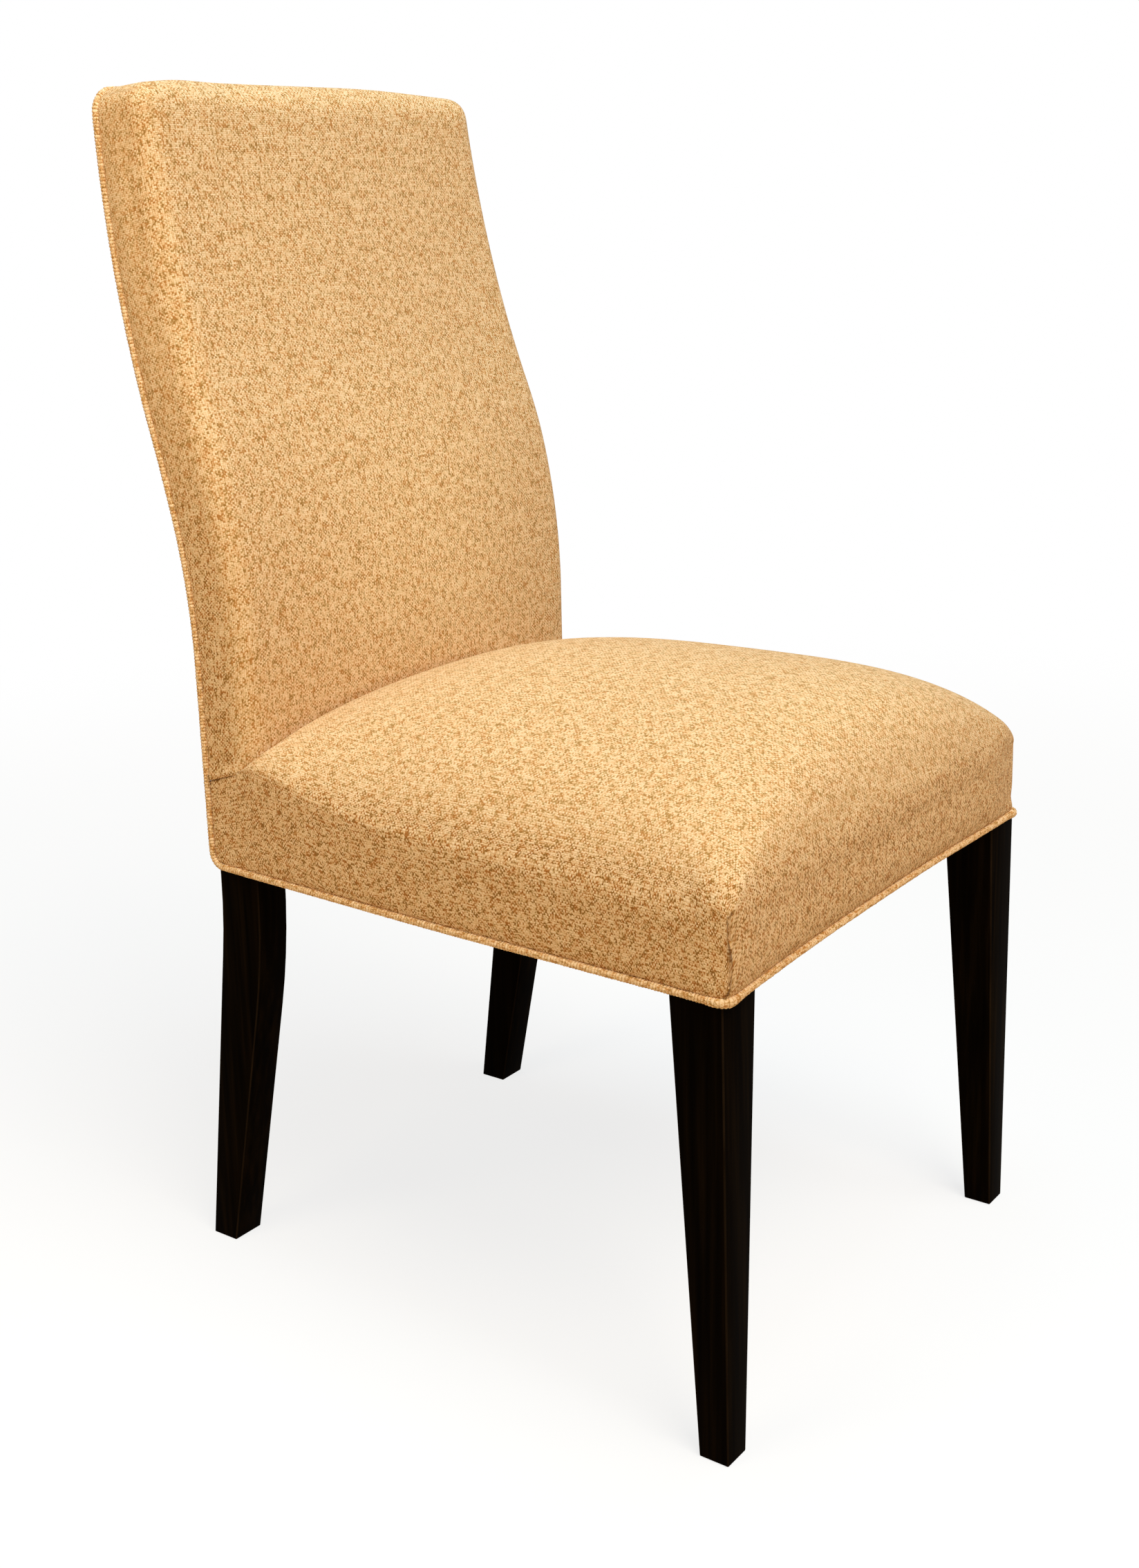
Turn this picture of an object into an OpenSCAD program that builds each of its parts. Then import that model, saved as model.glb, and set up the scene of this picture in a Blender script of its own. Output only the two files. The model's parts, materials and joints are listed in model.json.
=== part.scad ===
// Upholstered side chair, all sizes in millimetres.
// A glued hardwood frame carries webbing, foam and a tight tweed cover with a welt along its edges.
// Modelling coordinates: x is 0 on the middle plane, y is 0 on the front face of the seat and
// grows towards the back, z is 0 on the floor. at_origin() then centres the chair over the origin.

/* [Seat] */
// Width over the fabric at the front of the seat
seat_front_w = 497; // [480:1:520]
// How much narrower the seat is at its back corners than at its front
seat_taper = 56; // [45:1:59]
// Depth from the front of the seat to the inside face of the back
seat_depth = 468; // [430:1:500]
// Height of the side of the seat above the top of the rails, before it rounds over
boxing_h = 7.5; // [6:0.5:14]
// Rise of the middle of the seat above that side
crown_h = 99.5; // [70:0.5:110]
// Distance from the front of the seat to its highest point
crown_y = 200; // [170:5:240]
// Fall of the crown from its highest point to the back
crown_fall = 42; // [25:1:50]
// Rise of the lower front edge at the middle of the seat
front_arch = 8; // [0:0.5:8]
// Radius of the front corners of the seat, seen from above
seat_corner_r = 11; // [8:1:14]

/* [Back] */
// Height of the top of the back at its side edges
back_top = 985; // [960:1:1010]
// How much narrower the back is at its top than at the seat
back_taper = 35; // [21:1:51]
// Height at which the back starts to narrow
narrow_z = 684; // [640:1:720]
// Thickness of the back over the fabric
back_t = 53; // [51:0.5:58]
// Height at which the back starts to lean
lean_low_z = 532; // [525:1:560]
// Height at which the back leans most
lean_mid_z = 728; // [700:1:760]
// Largest lean from the vertical, in degrees
lean_max = 19.2; // [14:0.2:21]
// Lean at the top, in degrees
lean_top = 4.4; // [2:0.2:8]
// Rise of the top edge at its middle
top_rise = 3; // [0:0.5:6]
// Bulge of the inside of the back at its middle
back_crown = 8; // [0:0.5:9]
// Radius of the padded edge between the front and the sides of the back
back_edge_r = 18; // [15:1:20]

/* [Frame] */
// Height of the underside of the rails
rail_bottom = 373; // [370:1:385]
// Height of the seat rails
rail_h = 51; // [46:1:58]
// Thickness of the seat rails
rail_t = 25; // [20:1:26]
// Height of the lower rail of the back
back_rail_h = 45; // [40:1:50]
// Height of the crest rail
crest_h = 52; // [44:1:60]
// Thickness of the crest rail and the lower back rail
back_rail_t = 23; // [18:1:24]
// Depth of the stiles inside the back
stile_d = 26; // [25:0.5:28]
// Length of a corner block along each rail
block_leg = 46; // [42:1:56]
// Height of a corner block
block_h = 38; // [34:1:42]
// Height of a corner block's underside above that of the rails
block_rise = 5; // [4:0.5:8]
// Height of the lower rail of the back above the foot of its curve
low_rail_rise = 18; // [16:1:22]

/* [Legs] */
// Width of a front leg at the seat
leg_w = 44; // [42:1:46]
// Width of a front leg at the floor
leg_foot_w = 25; // [22:1:30]
// Distance from the fabric in to the outer face of a front leg
leg_inset = 5.5; // [5.5:0.5:9.5]
// Distance that the front legs lean forwards between the seat and the floor
leg_rake = 5.5; // [0:0.5:8]
// Height of the shoulder where the show wood of the legs ends
shoulder_z = 365; // [362:1:367]
// Thickness of a back post from side to side
post_w = 33; // [30:0.5:34]
// The same at the floor
post_foot_w = 31; // [26:0.5:34]
// Depth of a back post at the seat
post_d = 43.5; // [42.5:0.5:46]
// Distance from the fabric in to the outer face of a back post
post_inset = 8.5; // [8.5:0.5:10.5]
// Height of the arc in which the back face of a rear leg leaves the vertical
rear_rake_arc = 70; // [60:5:100]
// The same at its front face
front_rake_arc = 120; // [90:5:140]
// Lean of the back face of a rear leg, in degrees
rear_rake = 7.8; // [6:0.2:10]
// Lean of the front face of a rear leg, in degrees
front_rake = 11.6; // [10.8:0.2:12.4]

/* [Covering] */
// Thickness of the fabric
fabric_t = 2; // [1:0.1:2.2]
// Thickness of the batting on the seat
seat_batting_t = 6; // [3:0.5:8]
// Thickness of the batting on the back
back_batting_t = 4; // [2:0.5:5]
// Diameter of the welt
welt_d = 6.5; // [5:0.1:6.8]
// Diameter of the filler cord in the welt
filler_d = 3.2; // [2.4:0.1:3.4]
// Width of the seat webbing
web_w = 50; // [40:1:54]
// Thickness of the webbing
web_t = 1.5; // [1:0.1:1.8]
// Thickness of the burlap
burlap_t = 1; // [0.6:0.1:1.2]
// Thickness of the dust cover under the seat
dust_t = 0.8; // [0.5:0.1:1.2]

/* [Fixings] */
// Diameter of the dowels
dowel_d = 9.5; // [8:0.5:10]
// Length of the dowels
dowel_len = 42; // [36:1:44]
// Diameter of the screws in the corner blocks
screw_d = 4.5; // [4:0.1:5]
// Length of these screws
screw_len = 52; // [45:1:56]
// Spacing of the two dowels between the front or rear rail and a leg
rail_dowel_gap = 16; // [14:1:18]
// The same for a side rail
side_dowel_gap = 34; // [32:1:36]
// The same for the lower rail of the back
low_dowel_gap = 22; // [16:1:24]
// The same for the crest rail
crest_dowel_gap = 24; // [18:1:28]
// Spacing of the two screws in a corner block
screw_gap = 14; // [13:1:15]
// Width of a staple
staple_w = 12; // [8:1:14]

/* [Hidden] */

// Finishes
show_wood = [0.10, 0.06, 0.04];
frame_wood = [0.78, 0.63, 0.44];
steel = [0.65, 0.65, 0.68];
jute = [0.72, 0.58, 0.38];
foam_colour = [0.93, 0.88, 0.70];
white_fibre = [0.95, 0.95, 0.93];
tweed = [0.89, 0.71, 0.50];
card = [0.62, 0.52, 0.40];
black_cloth = [0.10, 0.10, 0.11];

// Clearances
layer_gap = 0.3;
thin_gap = 0.15;
bore_gap = 0.1;

// Heights of the seat, from the rails upwards
rail_top = rail_bottom + rail_h;
weave_top = rail_top + 2 * web_t + 3 * thin_gap;
burlap_z = weave_top + thin_gap;
foam_z = burlap_z + burlap_t + thin_gap;
side_top = rail_top + boxing_h;
crown_z = side_top + crown_h;
welt_r = welt_d / 2;
welt_inset = 1;
welt_z = shoulder_z - 0.2;
cover_bottom = welt_z + welt_r + layer_gap;
seam_rise = 23.5;
seam_z = side_top + seam_rise;
seat_rear_w = seat_front_w - seat_taper;
back_top_w = seat_rear_w - back_taper;

// Depths through the back, counted from its front face
cover_d = fabric_t + layer_gap;
foam_d = cover_d + back_batting_t + layer_gap;
panel_d = back_t - fabric_t;
strip_t = 1;
strip_d = panel_d - strip_t - thin_gap;
stile_back_d = strip_d - thin_gap;
stile_front_d = stile_back_d - stile_d;
web_front_d = stile_front_d - web_t - thin_gap;
burlap_front_d = web_front_d - burlap_t - thin_gap;
foam_back_d = burlap_front_d - 1.5;
welt_centre_d = back_t + welt_inset;
back_face_y = seat_depth + layer_gap;
rebate_y = back_face_y + stile_back_d;
back_y = back_face_y + back_t;

// The back is straight up to lean_low_z, then one arc leans it back and a second one straightens it
r_low = (lean_mid_z - lean_low_z) / sin(lean_max);
r_high = (back_top - lean_mid_z) / (sin(lean_max) - sin(lean_top));
function tilt(z) =
    z <= lean_low_z ? 0
    : z <= lean_mid_z ? asin((z - lean_low_z) / r_low)
    : asin(sin(lean_max) - (z - lean_mid_z) / r_high);
function lean(z) =
    z <= lean_low_z ? 0
    : z <= lean_mid_z ? r_low * (1 - cos(tilt(z)))
    : r_low * (1 - cos(lean_max)) + r_high * (cos(tilt(z)) - cos(lean_max));
// Point [y, z] at height z along the front face and depth d behind it
function back_at(z, d) = [back_face_y + lean(z) + d * cos(tilt(z)), z - d * sin(tilt(z))];
// Half width of the back over the fabric
narrow_power = 1.2;
function half_back(z) =
    (seat_rear_w - (seat_rear_w - back_top_w)
        * pow(max(0, min(1.1, (z - narrow_z) / (back_top - narrow_z))), narrow_power)) / 2;
// Heights at which the curved back is sampled
station = 14;
function stations(a, b) = concat([a],
    [for (i = [ceil(a / station + 0.2):floor(b / station - 0.2)]) i * station], [b]);
function reversed(list) = [for (i = [len(list) - 1:-1:0]) list[i]];
function back_curve(a, b, d) = [for (z = stations(a, b)) back_at(z, d)];
function back_band(a, b, d0, d1) = concat(back_curve(a, b, d0), reversed(back_curve(a, b, d1)));

// The overall depth runs from the welt at the front of the seat to the welt at the top of the back
y_front = welt_inset - welt_r;
y_rear = back_at(back_top - welt_r, welt_centre_d)[0] + welt_r;
mid_y = (y_front + y_rear) / 2;

// Half width of the seat over the fabric
function half_seat(y) = (seat_front_w - (seat_front_w - seat_rear_w) * y / back_y) / 2;

// Legs and posts
leg_x = seat_front_w / 2 - leg_inset;
foot_front_y = 4.5;
leg_front_y = leg_rake + foot_front_y;
post_x = seat_rear_w / 2 - post_inset;
post_lip = 5.5;
post_back_y = rebate_y + post_lip;
post_front_y = post_back_y - post_d;
stile_rise = 23;
stile_z = foam_z + stile_rise;
post_top = back_top - cover_d - back_batting_t - layer_gap - thin_gap;
leg_rear_y = leg_front_y + leg_w;
function rail_face(y) = leg_x + (post_x - leg_x) * (y - leg_rear_y) / (post_front_y - leg_rear_y);
rear_rail_y = rebate_y - rail_t;
low_rail_z = stile_z + low_rail_rise;
crest_drop = 4;
crest_z = post_top - crest_h - crest_drop;
back_rail_front_d = stile_back_d - back_rail_t - 1;

module at_origin() translate([0, -mid_y, 0]) children();
module mirrored() {
    children();
    mirror([1, 0, 0]) children();
}
// Turns a polygon drawn in [y, z] into a solid that runs along x
module along_x(x0, x1) {
    translate([x0, 0, 0]) rotate([90, 0, 90]) linear_extrude(x1 - x0) children();
}
// Turns a polygon drawn in [x, z] into a solid that runs along y
module along_y(y0, y1) {
    translate([0, y1, 0]) rotate([90, 0, 0]) linear_extrude(y1 - y0) children();
}

// Front legs: square in section, tapered on the inner faces below the shoulder
module front_leg() {
    foot_y = leg_front_y - leg_rake;
    difference() {
        intersection() {
            along_y(0, leg_front_y + leg_w + 10)
                polygon([[leg_x - leg_foot_w, 0], [leg_x, 0], [leg_x, rail_top],
                    [leg_x - leg_w, rail_top], [leg_x - leg_w, shoulder_z]]);
            along_x(leg_x - leg_w - 10, leg_x + 10)
                polygon([[foot_y, 0], [foot_y + leg_foot_w, 0], [leg_front_y + leg_w, shoulder_z],
                    [leg_front_y + leg_w, rail_top], [leg_front_y, rail_top], [leg_front_y, shoulder_z]]);
        }
        side_rail_front_dowels(bore_gap);
        front_rail_dowels(bore_gap);
        front_screws(bore_gap);
    }
}
module front_leg_left() color(show_wood) at_origin() mirror([1, 0, 0]) front_leg();
module front_leg_right() color(show_wood) at_origin() front_leg();

// Rear leg and stile are sawn from one board. Each rear leg face leaves the vertical on an arc.
rake_drop = 15;
rake_start = shoulder_z - rake_drop;
function raked(face_y, angle, rise) = let (r = rise / sin(angle), n = 6) concat(
    [for (i = [0:n]) [face_y + r * (1 - cos(angle * i / n)), rake_start - r * sin(angle * i / n)]],
    [[face_y + r * (1 - cos(angle)) + (rake_start - rise) * tan(angle), 0]]);
module post_side_outline() {
    polygon(concat(
        raked(post_back_y, rear_rake, rear_rake_arc),
        reversed(raked(post_front_y, front_rake, front_rake_arc)),
        [[post_front_y, rail_top + 3]],
        back_curve(stile_z - 3, post_top, stile_front_d),
        reversed(back_curve(shoulder_z, post_top, stile_back_d)),
        [[post_back_y, shoulder_z]]));
}
function stile_out(z) = half_back(z) - post_inset;
stile_heights = concat([shoulder_z], [for (i = [0:8]) narrow_z + (back_top - narrow_z) * i / 8]);
module post_front_outline() {
    polygon(concat([[post_x - post_foot_w, 0], [post_x, 0]],
        [for (z = stile_heights) [stile_out(z), z]],
        [for (z = reversed(stile_heights)) [stile_out(z) - post_w, z]]));
}
module back_post() {
    difference() {
        intersection() {
            along_x(0, post_x + 10) post_side_outline();
            along_y(0, y_rear + 10) post_front_outline();
        }
        side_rail_rear_dowels(bore_gap);
        rear_rail_dowels(bore_gap);
        low_rail_dowels(bore_gap);
        crest_dowels(bore_gap);
        rear_screws(bore_gap);
    }
}
module back_post_left() color(show_wood) at_origin() mirror([1, 0, 0]) back_post();
module back_post_right() color(show_wood) at_origin() back_post();

// Seat rails
module front_rail() color(frame_wood) at_origin() {
    difference() {
        translate([-leg_x + leg_w, leg_front_y, rail_bottom])
            cube([2 * (leg_x - leg_w), rail_t, rail_h]);
        mirrored() front_rail_dowels(bore_gap);
        staple_legs(front_staples, bore_gap);
    }
}
module rear_rail() color(frame_wood) at_origin() {
    difference() {
        translate([-post_x + post_w, rear_rail_y, rail_bottom])
            cube([2 * (post_x - post_w), rail_t, rail_h]);
        mirrored() rear_rail_dowels(bore_gap);
        staple_legs(rear_staples, bore_gap);
    }
}
module side_rail() {
    y0 = leg_front_y + leg_w;
    y1 = post_front_y;
    difference() {
        translate([0, 0, rail_bottom]) linear_extrude(rail_h)
            polygon([[rail_face(y0), y0], [rail_face(y1), y1],
                [rail_face(y1) - rail_t, y1], [rail_face(y0) - rail_t, y0]]);
        side_rail_front_dowels(bore_gap);
        side_rail_rear_dowels(bore_gap);
        staple_legs(side_staples, bore_gap);
    }
}
module left_rail() color(frame_wood) at_origin() mirror([1, 0, 0]) side_rail();
module right_rail() color(frame_wood) at_origin() side_rail();

// Rails of the back, cut to fit between the stiles
module between_stiles() {
    along_y(0, y_rear + 10) polygon(concat(
        [for (z = stile_heights) [stile_out(z) - post_w, z]],
        [for (z = reversed(stile_heights)) [post_w - stile_out(z), z]]));
}
module crest_rail() color(frame_wood) at_origin() {
    difference() {
        intersection() {
            along_x(-post_x, post_x)
                polygon(back_band(crest_z, crest_z + crest_h, back_rail_front_d, stile_back_d - 1));
            between_stiles();
        }
        mirrored() crest_dowels(bore_gap);
    }
}
module back_lower_rail() color(frame_wood) at_origin() {
    difference() {
        translate([-post_x + post_w, back_face_y + back_rail_front_d, low_rail_z])
            cube([2 * (post_x - post_w), back_rail_t, back_rail_h]);
        mirrored() low_rail_dowels(bore_gap);
    }
}

// Corner blocks fill the corner between two rails and a leg, with the inner side cut across
block_z = rail_bottom + block_rise;
module block_front() {
    inner_y = leg_front_y + rail_t;
    leg_y = leg_front_y + leg_w;
    far_y = leg_y + block_leg;
    difference() {
        translate([0, 0, block_z]) linear_extrude(block_h)
            polygon([[leg_x - leg_w, inner_y], [leg_x - leg_w - block_leg, inner_y],
                [rail_face(far_y) - rail_t, far_y], [rail_face(leg_y) - rail_t, leg_y],
                [leg_x - leg_w, leg_y]]);
        front_screws(bore_gap);
    }
}
module block_rear() {
    post_in = post_x - post_w;
    far_y = post_front_y - block_leg;
    difference() {
        translate([0, 0, block_z]) linear_extrude(block_h)
            polygon([[post_in, rear_rail_y], [post_in - block_leg, rear_rail_y],
                [rail_face(far_y) - rail_t, far_y], [rail_face(post_front_y) - rail_t, post_front_y],
                [post_in, post_front_y]]);
        rear_screws(bore_gap);
    }
}
module corner_block_front_left() color(frame_wood) at_origin() mirror([1, 0, 0]) block_front();
module corner_block_front_right() color(frame_wood) at_origin() block_front();
module corner_block_rear_left() color(frame_wood) at_origin() mirror([1, 0, 0]) block_rear();
module corner_block_rear_right() color(frame_wood) at_origin() block_rear();

// Dowels: gap 0 makes the dowel, bore_gap makes its hole
module dowel_x(x, y, z, gap) {
    len = dowel_len + 10 * gap;
    translate([x - len / 2, y, z]) rotate([0, 90, 0]) cylinder(h = len, d = dowel_d + 2 * gap, $fn = 32);
}
module dowel_y(x, y, z, gap) {
    len = dowel_len + 10 * gap;
    translate([x, y - len / 2, z]) rotate([-90, 0, 0]) cylinder(h = len, d = dowel_d + 2 * gap, $fn = 32);
}
module front_rail_dowels(gap) {
    for (dz = [-rail_dowel_gap, rail_dowel_gap] / 2)
        dowel_x(leg_x - leg_w, leg_front_y + rail_t / 2, rail_bottom + rail_h / 2 + dz, gap);
}
module side_rail_front_dowels(gap) {
    for (dz = [-side_dowel_gap, side_dowel_gap] / 2)
        dowel_y(leg_x - rail_t / 2, leg_front_y + leg_w, rail_bottom + rail_h / 2 + dz, gap);
}
module side_rail_rear_dowels(gap) {
    for (dz = [-side_dowel_gap, side_dowel_gap] / 2)
        dowel_y(post_x - rail_t / 2, post_front_y, rail_bottom + rail_h / 2 + dz, gap);
}
rear_dowel_shift = 2.5;
module rear_rail_dowels(gap) {
    for (dz = [-rail_dowel_gap, rail_dowel_gap] / 2)
        dowel_x(post_x - post_w, rear_rail_y + rail_t / 2 + rear_dowel_shift, rail_bottom + rail_h / 2 + dz, gap);
}
module low_rail_dowels(gap) {
    for (dz = [-low_dowel_gap, low_dowel_gap] / 2)
        dowel_x(post_x - post_w, back_face_y + back_rail_front_d + back_rail_t / 2,
            low_rail_z + back_rail_h / 2 + dz, gap);
}
module crest_dowels(gap) {
    for (dz = [-crest_dowel_gap, crest_dowel_gap] / 2) {
        p = back_at(crest_z + crest_h / 2 + dz, back_rail_front_d + back_rail_t / 2);
        dowel_x(stile_out(p[1]) - post_w, p[0], p[1], gap);
    }
}
module seat_frame_dowels() color(frame_wood) at_origin() mirrored() {
    front_rail_dowels(0);
    side_rail_front_dowels(0);
    side_rail_rear_dowels(0);
    rear_rail_dowels(0);
}
module back_frame_dowels() color(frame_wood) at_origin() mirrored() {
    low_rail_dowels(0);
    crest_dowels(0);
}

// Screws run from the cut face of each block into the corner of the leg
screw_head_d = 8.4;
screw_head_h = 3;
module screw(gap) {
    // The tip points along +z from the block's cut face, and the head sits in a counterbore
    translate([0, 0, gap > 0 ? -20 : 0.4])
        cylinder(h = screw_head_h + (gap > 0 ? 20.4 : 0), d = screw_head_d + 6 * gap, $fn = 32);
    translate([0, 0, 1]) cylinder(h = screw_len - 1 + 10 * gap, d = screw_d + 2 * gap, $fn = 32);
}
module screw_pair(x, y, turn, gap) {
    for (dz = [-screw_gap, screw_gap] / 2)
        translate([x, y, block_z + block_h / 2 + dz]) rotate([0, 90, turn]) screw(gap);
}
module front_screws(gap) {
    a = [leg_x - leg_w - block_leg, leg_front_y + rail_t];
    b = [rail_face(leg_front_y + leg_w + block_leg) - rail_t, leg_front_y + leg_w + block_leg];
    turn = atan2(b[1] - a[1], b[0] - a[0]) - 90;
    screw_pair((a[0] + b[0]) / 2, (a[1] + b[1]) / 2, turn, gap);
}
module rear_screws(gap) {
    a = [post_x - post_w - block_leg, rear_rail_y];
    b = [rail_face(post_front_y - block_leg) - rail_t, post_front_y - block_leg];
    turn = atan2(b[1] - a[1], b[0] - a[0]) + 90;
    screw_pair((a[0] + b[0]) / 2, (a[1] + b[1]) / 2, turn, gap);
}
module corner_block_screws() color(steel) at_origin() mirrored() {
    front_screws(0);
    rear_screws(0);
}

// Seat webbing in plain weave: each strap runs over and under the ones that cross it
web_low = rail_top + thin_gap;
web_high = web_low + web_t + thin_gap;
strap_ramp = 8;
strap_count = 5;
strap_edge = 45;
strap_first_y = leg_front_y + rail_t + strap_edge;
strap_last_y = rear_rail_y - strap_edge;
side_straps_y = [for (i = [0:strap_count - 1])
    strap_first_y + i * (strap_last_y - strap_first_y) / (strap_count - 1)];
long_straps_x = [for (i = [0:strap_count - 1]) (i - 2) * (post_x - post_w - web_w / 2 - 8) / 2];
// Profile [along, z] of a strap that is high at every crossing where (index + phase) is odd
function strap_line(start, stops, end, phase, up) = concat([[start, web_low + up]],
    [for (i = [0:len(stops) - 1]) if ((i + phase) % 2 == 1) each [
        [stops[i] - web_w / 2 - strap_ramp, web_low + up], [stops[i] - web_w / 2, web_high + up],
        [stops[i] + web_w / 2, web_high + up], [stops[i] + web_w / 2 + strap_ramp, web_low + up]]],
    [[end, web_low + up]]);
module strap_profile(start, stops, end, phase) {
    polygon(concat(strap_line(start, stops, end, phase, 0),
        reversed(strap_line(start, stops, end, phase, web_t))));
}
module seat_webbing_lengthwise() color(jute) at_origin() {
    for (k = [0:strap_count - 1])
        along_x(long_straps_x[k] - web_w / 2, long_straps_x[k] + web_w / 2)
            strap_profile(leg_front_y + 4, side_straps_y, rear_rail_y + rail_t - 4, k);
}
module seat_webbing_crosswise() color(jute) at_origin() {
    for (k = [0:strap_count - 1]) {
        reach = rail_face(side_straps_y[k] + web_w / 2) - 4;
        along_y(side_straps_y[k] - web_w / 2, side_straps_y[k] + web_w / 2)
            strap_profile(-reach, long_straps_x, reach, k + 1);
    }
}
module seat_burlap() color(jute) at_origin() {
    y0 = leg_front_y + 2;
    y1 = post_front_y - 1;
    y2 = rear_rail_y + rail_t - 6;
    translate([0, 0, burlap_z]) linear_extrude(burlap_t)
        polygon([[-leg_x + 5, y0], [leg_x - 5, y0], [rail_face(y1) - 3, y1], [post_x - post_w - 2, y1],
            [post_x - post_w - 2, y2], [-post_x + post_w + 2, y2], [-post_x + post_w + 2, y1],
            [-rail_face(y1) + 3, y1]]);
}

// Straps, burlap and strips that follow the curve of the back
strap_pitch = 62;
strap_h = 45;
module back_webbing() color(jute) at_origin() {
    low = low_rail_z + back_rail_h + 12;
    for (z = [low:strap_pitch:crest_z - strap_h - 4])
        along_x(-stile_out(back_top) + 2, stile_out(back_top) - 2)
            polygon(back_band(z, z + strap_h, web_front_d, web_front_d + web_t));
}
module back_burlap() color(jute) at_origin() {
    along_x(-stile_out(back_top) + 1, stile_out(back_top) - 1)
        polygon(back_band(low_rail_z + back_rail_h / 2, post_top - 6,
            burlap_front_d, burlap_front_d + burlap_t));
}
strip_w = 14;
module back_edge_strips() color(steel) at_origin() mirrored() {
    along_x(stile_out(back_top) - strip_w - 2, stile_out(back_top) - 2)
        polygon(back_band(shoulder_z + 20, crest_z - 6, strip_d, strip_d + strip_t));
}
module back_tack_strip() color(card) at_origin() {
    along_x(-stile_out(back_top) + 4, stile_out(back_top) - 4)
        polygon(back_band(post_top - strip_w, post_top - 2, strip_d, strip_d + strip_t));
}

// A padded form is two skins of rings that share one outline, open along one edge.
// outer and inner are lists of rings, and the tips close the rings at the middle of the open edge.
function ring_faces(rings, n, first, tip, flip) = concat(
    [for (k = [0:rings - 2]) for (j = [0:n - 2]) let (a = first + k * n + j) each (flip
        ? [[a, a + 1, a + n], [a + 1, a + n + 1, a + n]]
        : [[a, a + n, a + 1], [a + 1, a + n, a + n + 1]])],
    [for (j = [0:n - 2]) let (a = first + (rings - 1) * n + j)
        flip ? [a, a + 1, tip] : [a, tip, a + 1]]);
module padded_form(outer, outer_tip, inner, inner_tip) {
    rings = len(outer);
    n = len(outer[0]);
    size = rings * n + 1;
    tip = size - 1;
    points = concat([for (ring = outer) each ring], [outer_tip],
        [for (ring = inner) each ring], [inner_tip]);
    rim = [for (j = [0:n - 2]) each [[j, j + 1, size + j], [j + 1, size + j + 1, size + j]]];
    last = (rings - 1) * n;
    edges = concat(
        [for (k = [0:rings - 2]) let (a = k * n)
            each [[a, size + a, a + n], [a + n, size + a, size + a + n]]],
        [for (k = [0:rings - 2]) let (a = k * n + n - 1)
            each [[a, a + n, size + a], [a + n, size + a + n, size + a]]],
        [[last, size + last, tip], [tip, size + last, size + tip]],
        [[last + n - 1, tip, size + last + n - 1], [tip, size + tip, size + last + n - 1]]);
    polyhedron(points = points, faces = concat(ring_faces(rings, n, 0, tip, false),
        ring_faces(rings, n, size, size + tip, true), rim, edges), convexity = 6);
}

// Seat forms. The outline runs from the left rear corner round the front to the right rear corner.
side_steps = 8;
corner_steps = 3;
front_steps = 10;
function seat_right(i) = let (r = max(2, seat_corner_r - i)) concat(
    [for (k = [0:side_steps - 1]) let (y = seat_depth + (r + i - seat_depth) * k / side_steps)
        [half_seat(y) - i, y]],
    [for (k = [0:corner_steps]) let (a = 90 * k / corner_steps, y = i + r * (1 - sin(a)))
        [half_seat(y) - i - r * (1 - cos(a)), y]]);
function seat_outline(i) = let (
    right = seat_right(i),
    end = right[len(right) - 1][0]) concat(
    [for (p = right) [-p[0], p[1]]],
    [for (k = [1:front_steps - 1]) [-end + 2 * end * k / front_steps, i]],
    reversed(right));
side_power = 2.1;
side_round = 0.53;
front_power = 3.4;
front_round = 0.3;
rear_power = 3;
function crown_line(y, i, drop) = let (
    ahead = max(0, min(1, (crown_y - y) / (crown_y - i))),
    behind = max(0, (y - crown_y) / (seat_depth - crown_y)))
    y < crown_y
        ? (crown_h - drop) * pow(max(0, 1 - pow(ahead, front_power)), front_round)
        : crown_h - drop - crown_fall * pow(behind, rear_power);
function seat_top(x, y, i, drop) = let (across = min(1, abs(x) / (half_seat(y) - i)))
    side_top + crown_line(y, i, drop) * pow(max(0, 1 - pow(across, side_power)), side_round);
seat_rings = [0.998, 0.992, 0.97, 0.935, 0.88, 0.8, 0.68, 0.5, 0.27];
function shrink(p, s) = [p[0] * s, seat_depth + (p[1] - seat_depth) * s];
function seat_skin(i, drop) = [for (s = seat_rings)
    [for (p = seat_outline(i)) let (q = shrink(p, s)) [q[0], q[1], seat_top(q[0], q[1], i, drop)]]];
function seat_tip(i, drop) = [0, seat_depth, seat_top(0, seat_depth, i, drop)];
function seat_wall(i, z) = [for (p = seat_outline(i)) [p[0], p[1], z]];
function arch_at(x, y) = front_arch * max(0, 1 - pow(x / (seat_front_w / 2 - seat_corner_r), 2))
    * max(0, 1 - y / seat_corner_r);
function cover_rim(i) = [for (p = seat_outline(i)) [p[0], p[1], cover_bottom + arch_at(p[0], p[1] - i)]];
seat_foam_i = fabric_t + back_batting_t + 2 * layer_gap;
seat_foam_drop = fabric_t + seat_batting_t + 2 * layer_gap;
module seat_foam() color(foam_colour) at_origin() {
    i = seat_foam_i;
    base = concat([seat_wall(i, foam_z)], [for (s = seat_rings)
        [for (p = seat_outline(i)) let (q = shrink(p, s)) [q[0], q[1], foam_z]]]);
    padded_form(concat([seat_wall(i, side_top)], seat_skin(i, seat_foam_drop)),
        seat_tip(i, seat_foam_drop), base, [0, seat_depth, foam_z]);
}
module seat_batting() color(white_fibre) at_origin() {
    i = fabric_t + layer_gap;
    j = seat_foam_i - layer_gap;
    padded_form(
        concat([seat_wall(i, foam_z), seat_wall(i, side_top)], seat_skin(i, i)), seat_tip(i, i),
        concat([seat_wall(j, foam_z), seat_wall(j, side_top)], seat_skin(j, seat_foam_drop - layer_gap)),
        seat_tip(j, seat_foam_drop - layer_gap));
}
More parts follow.
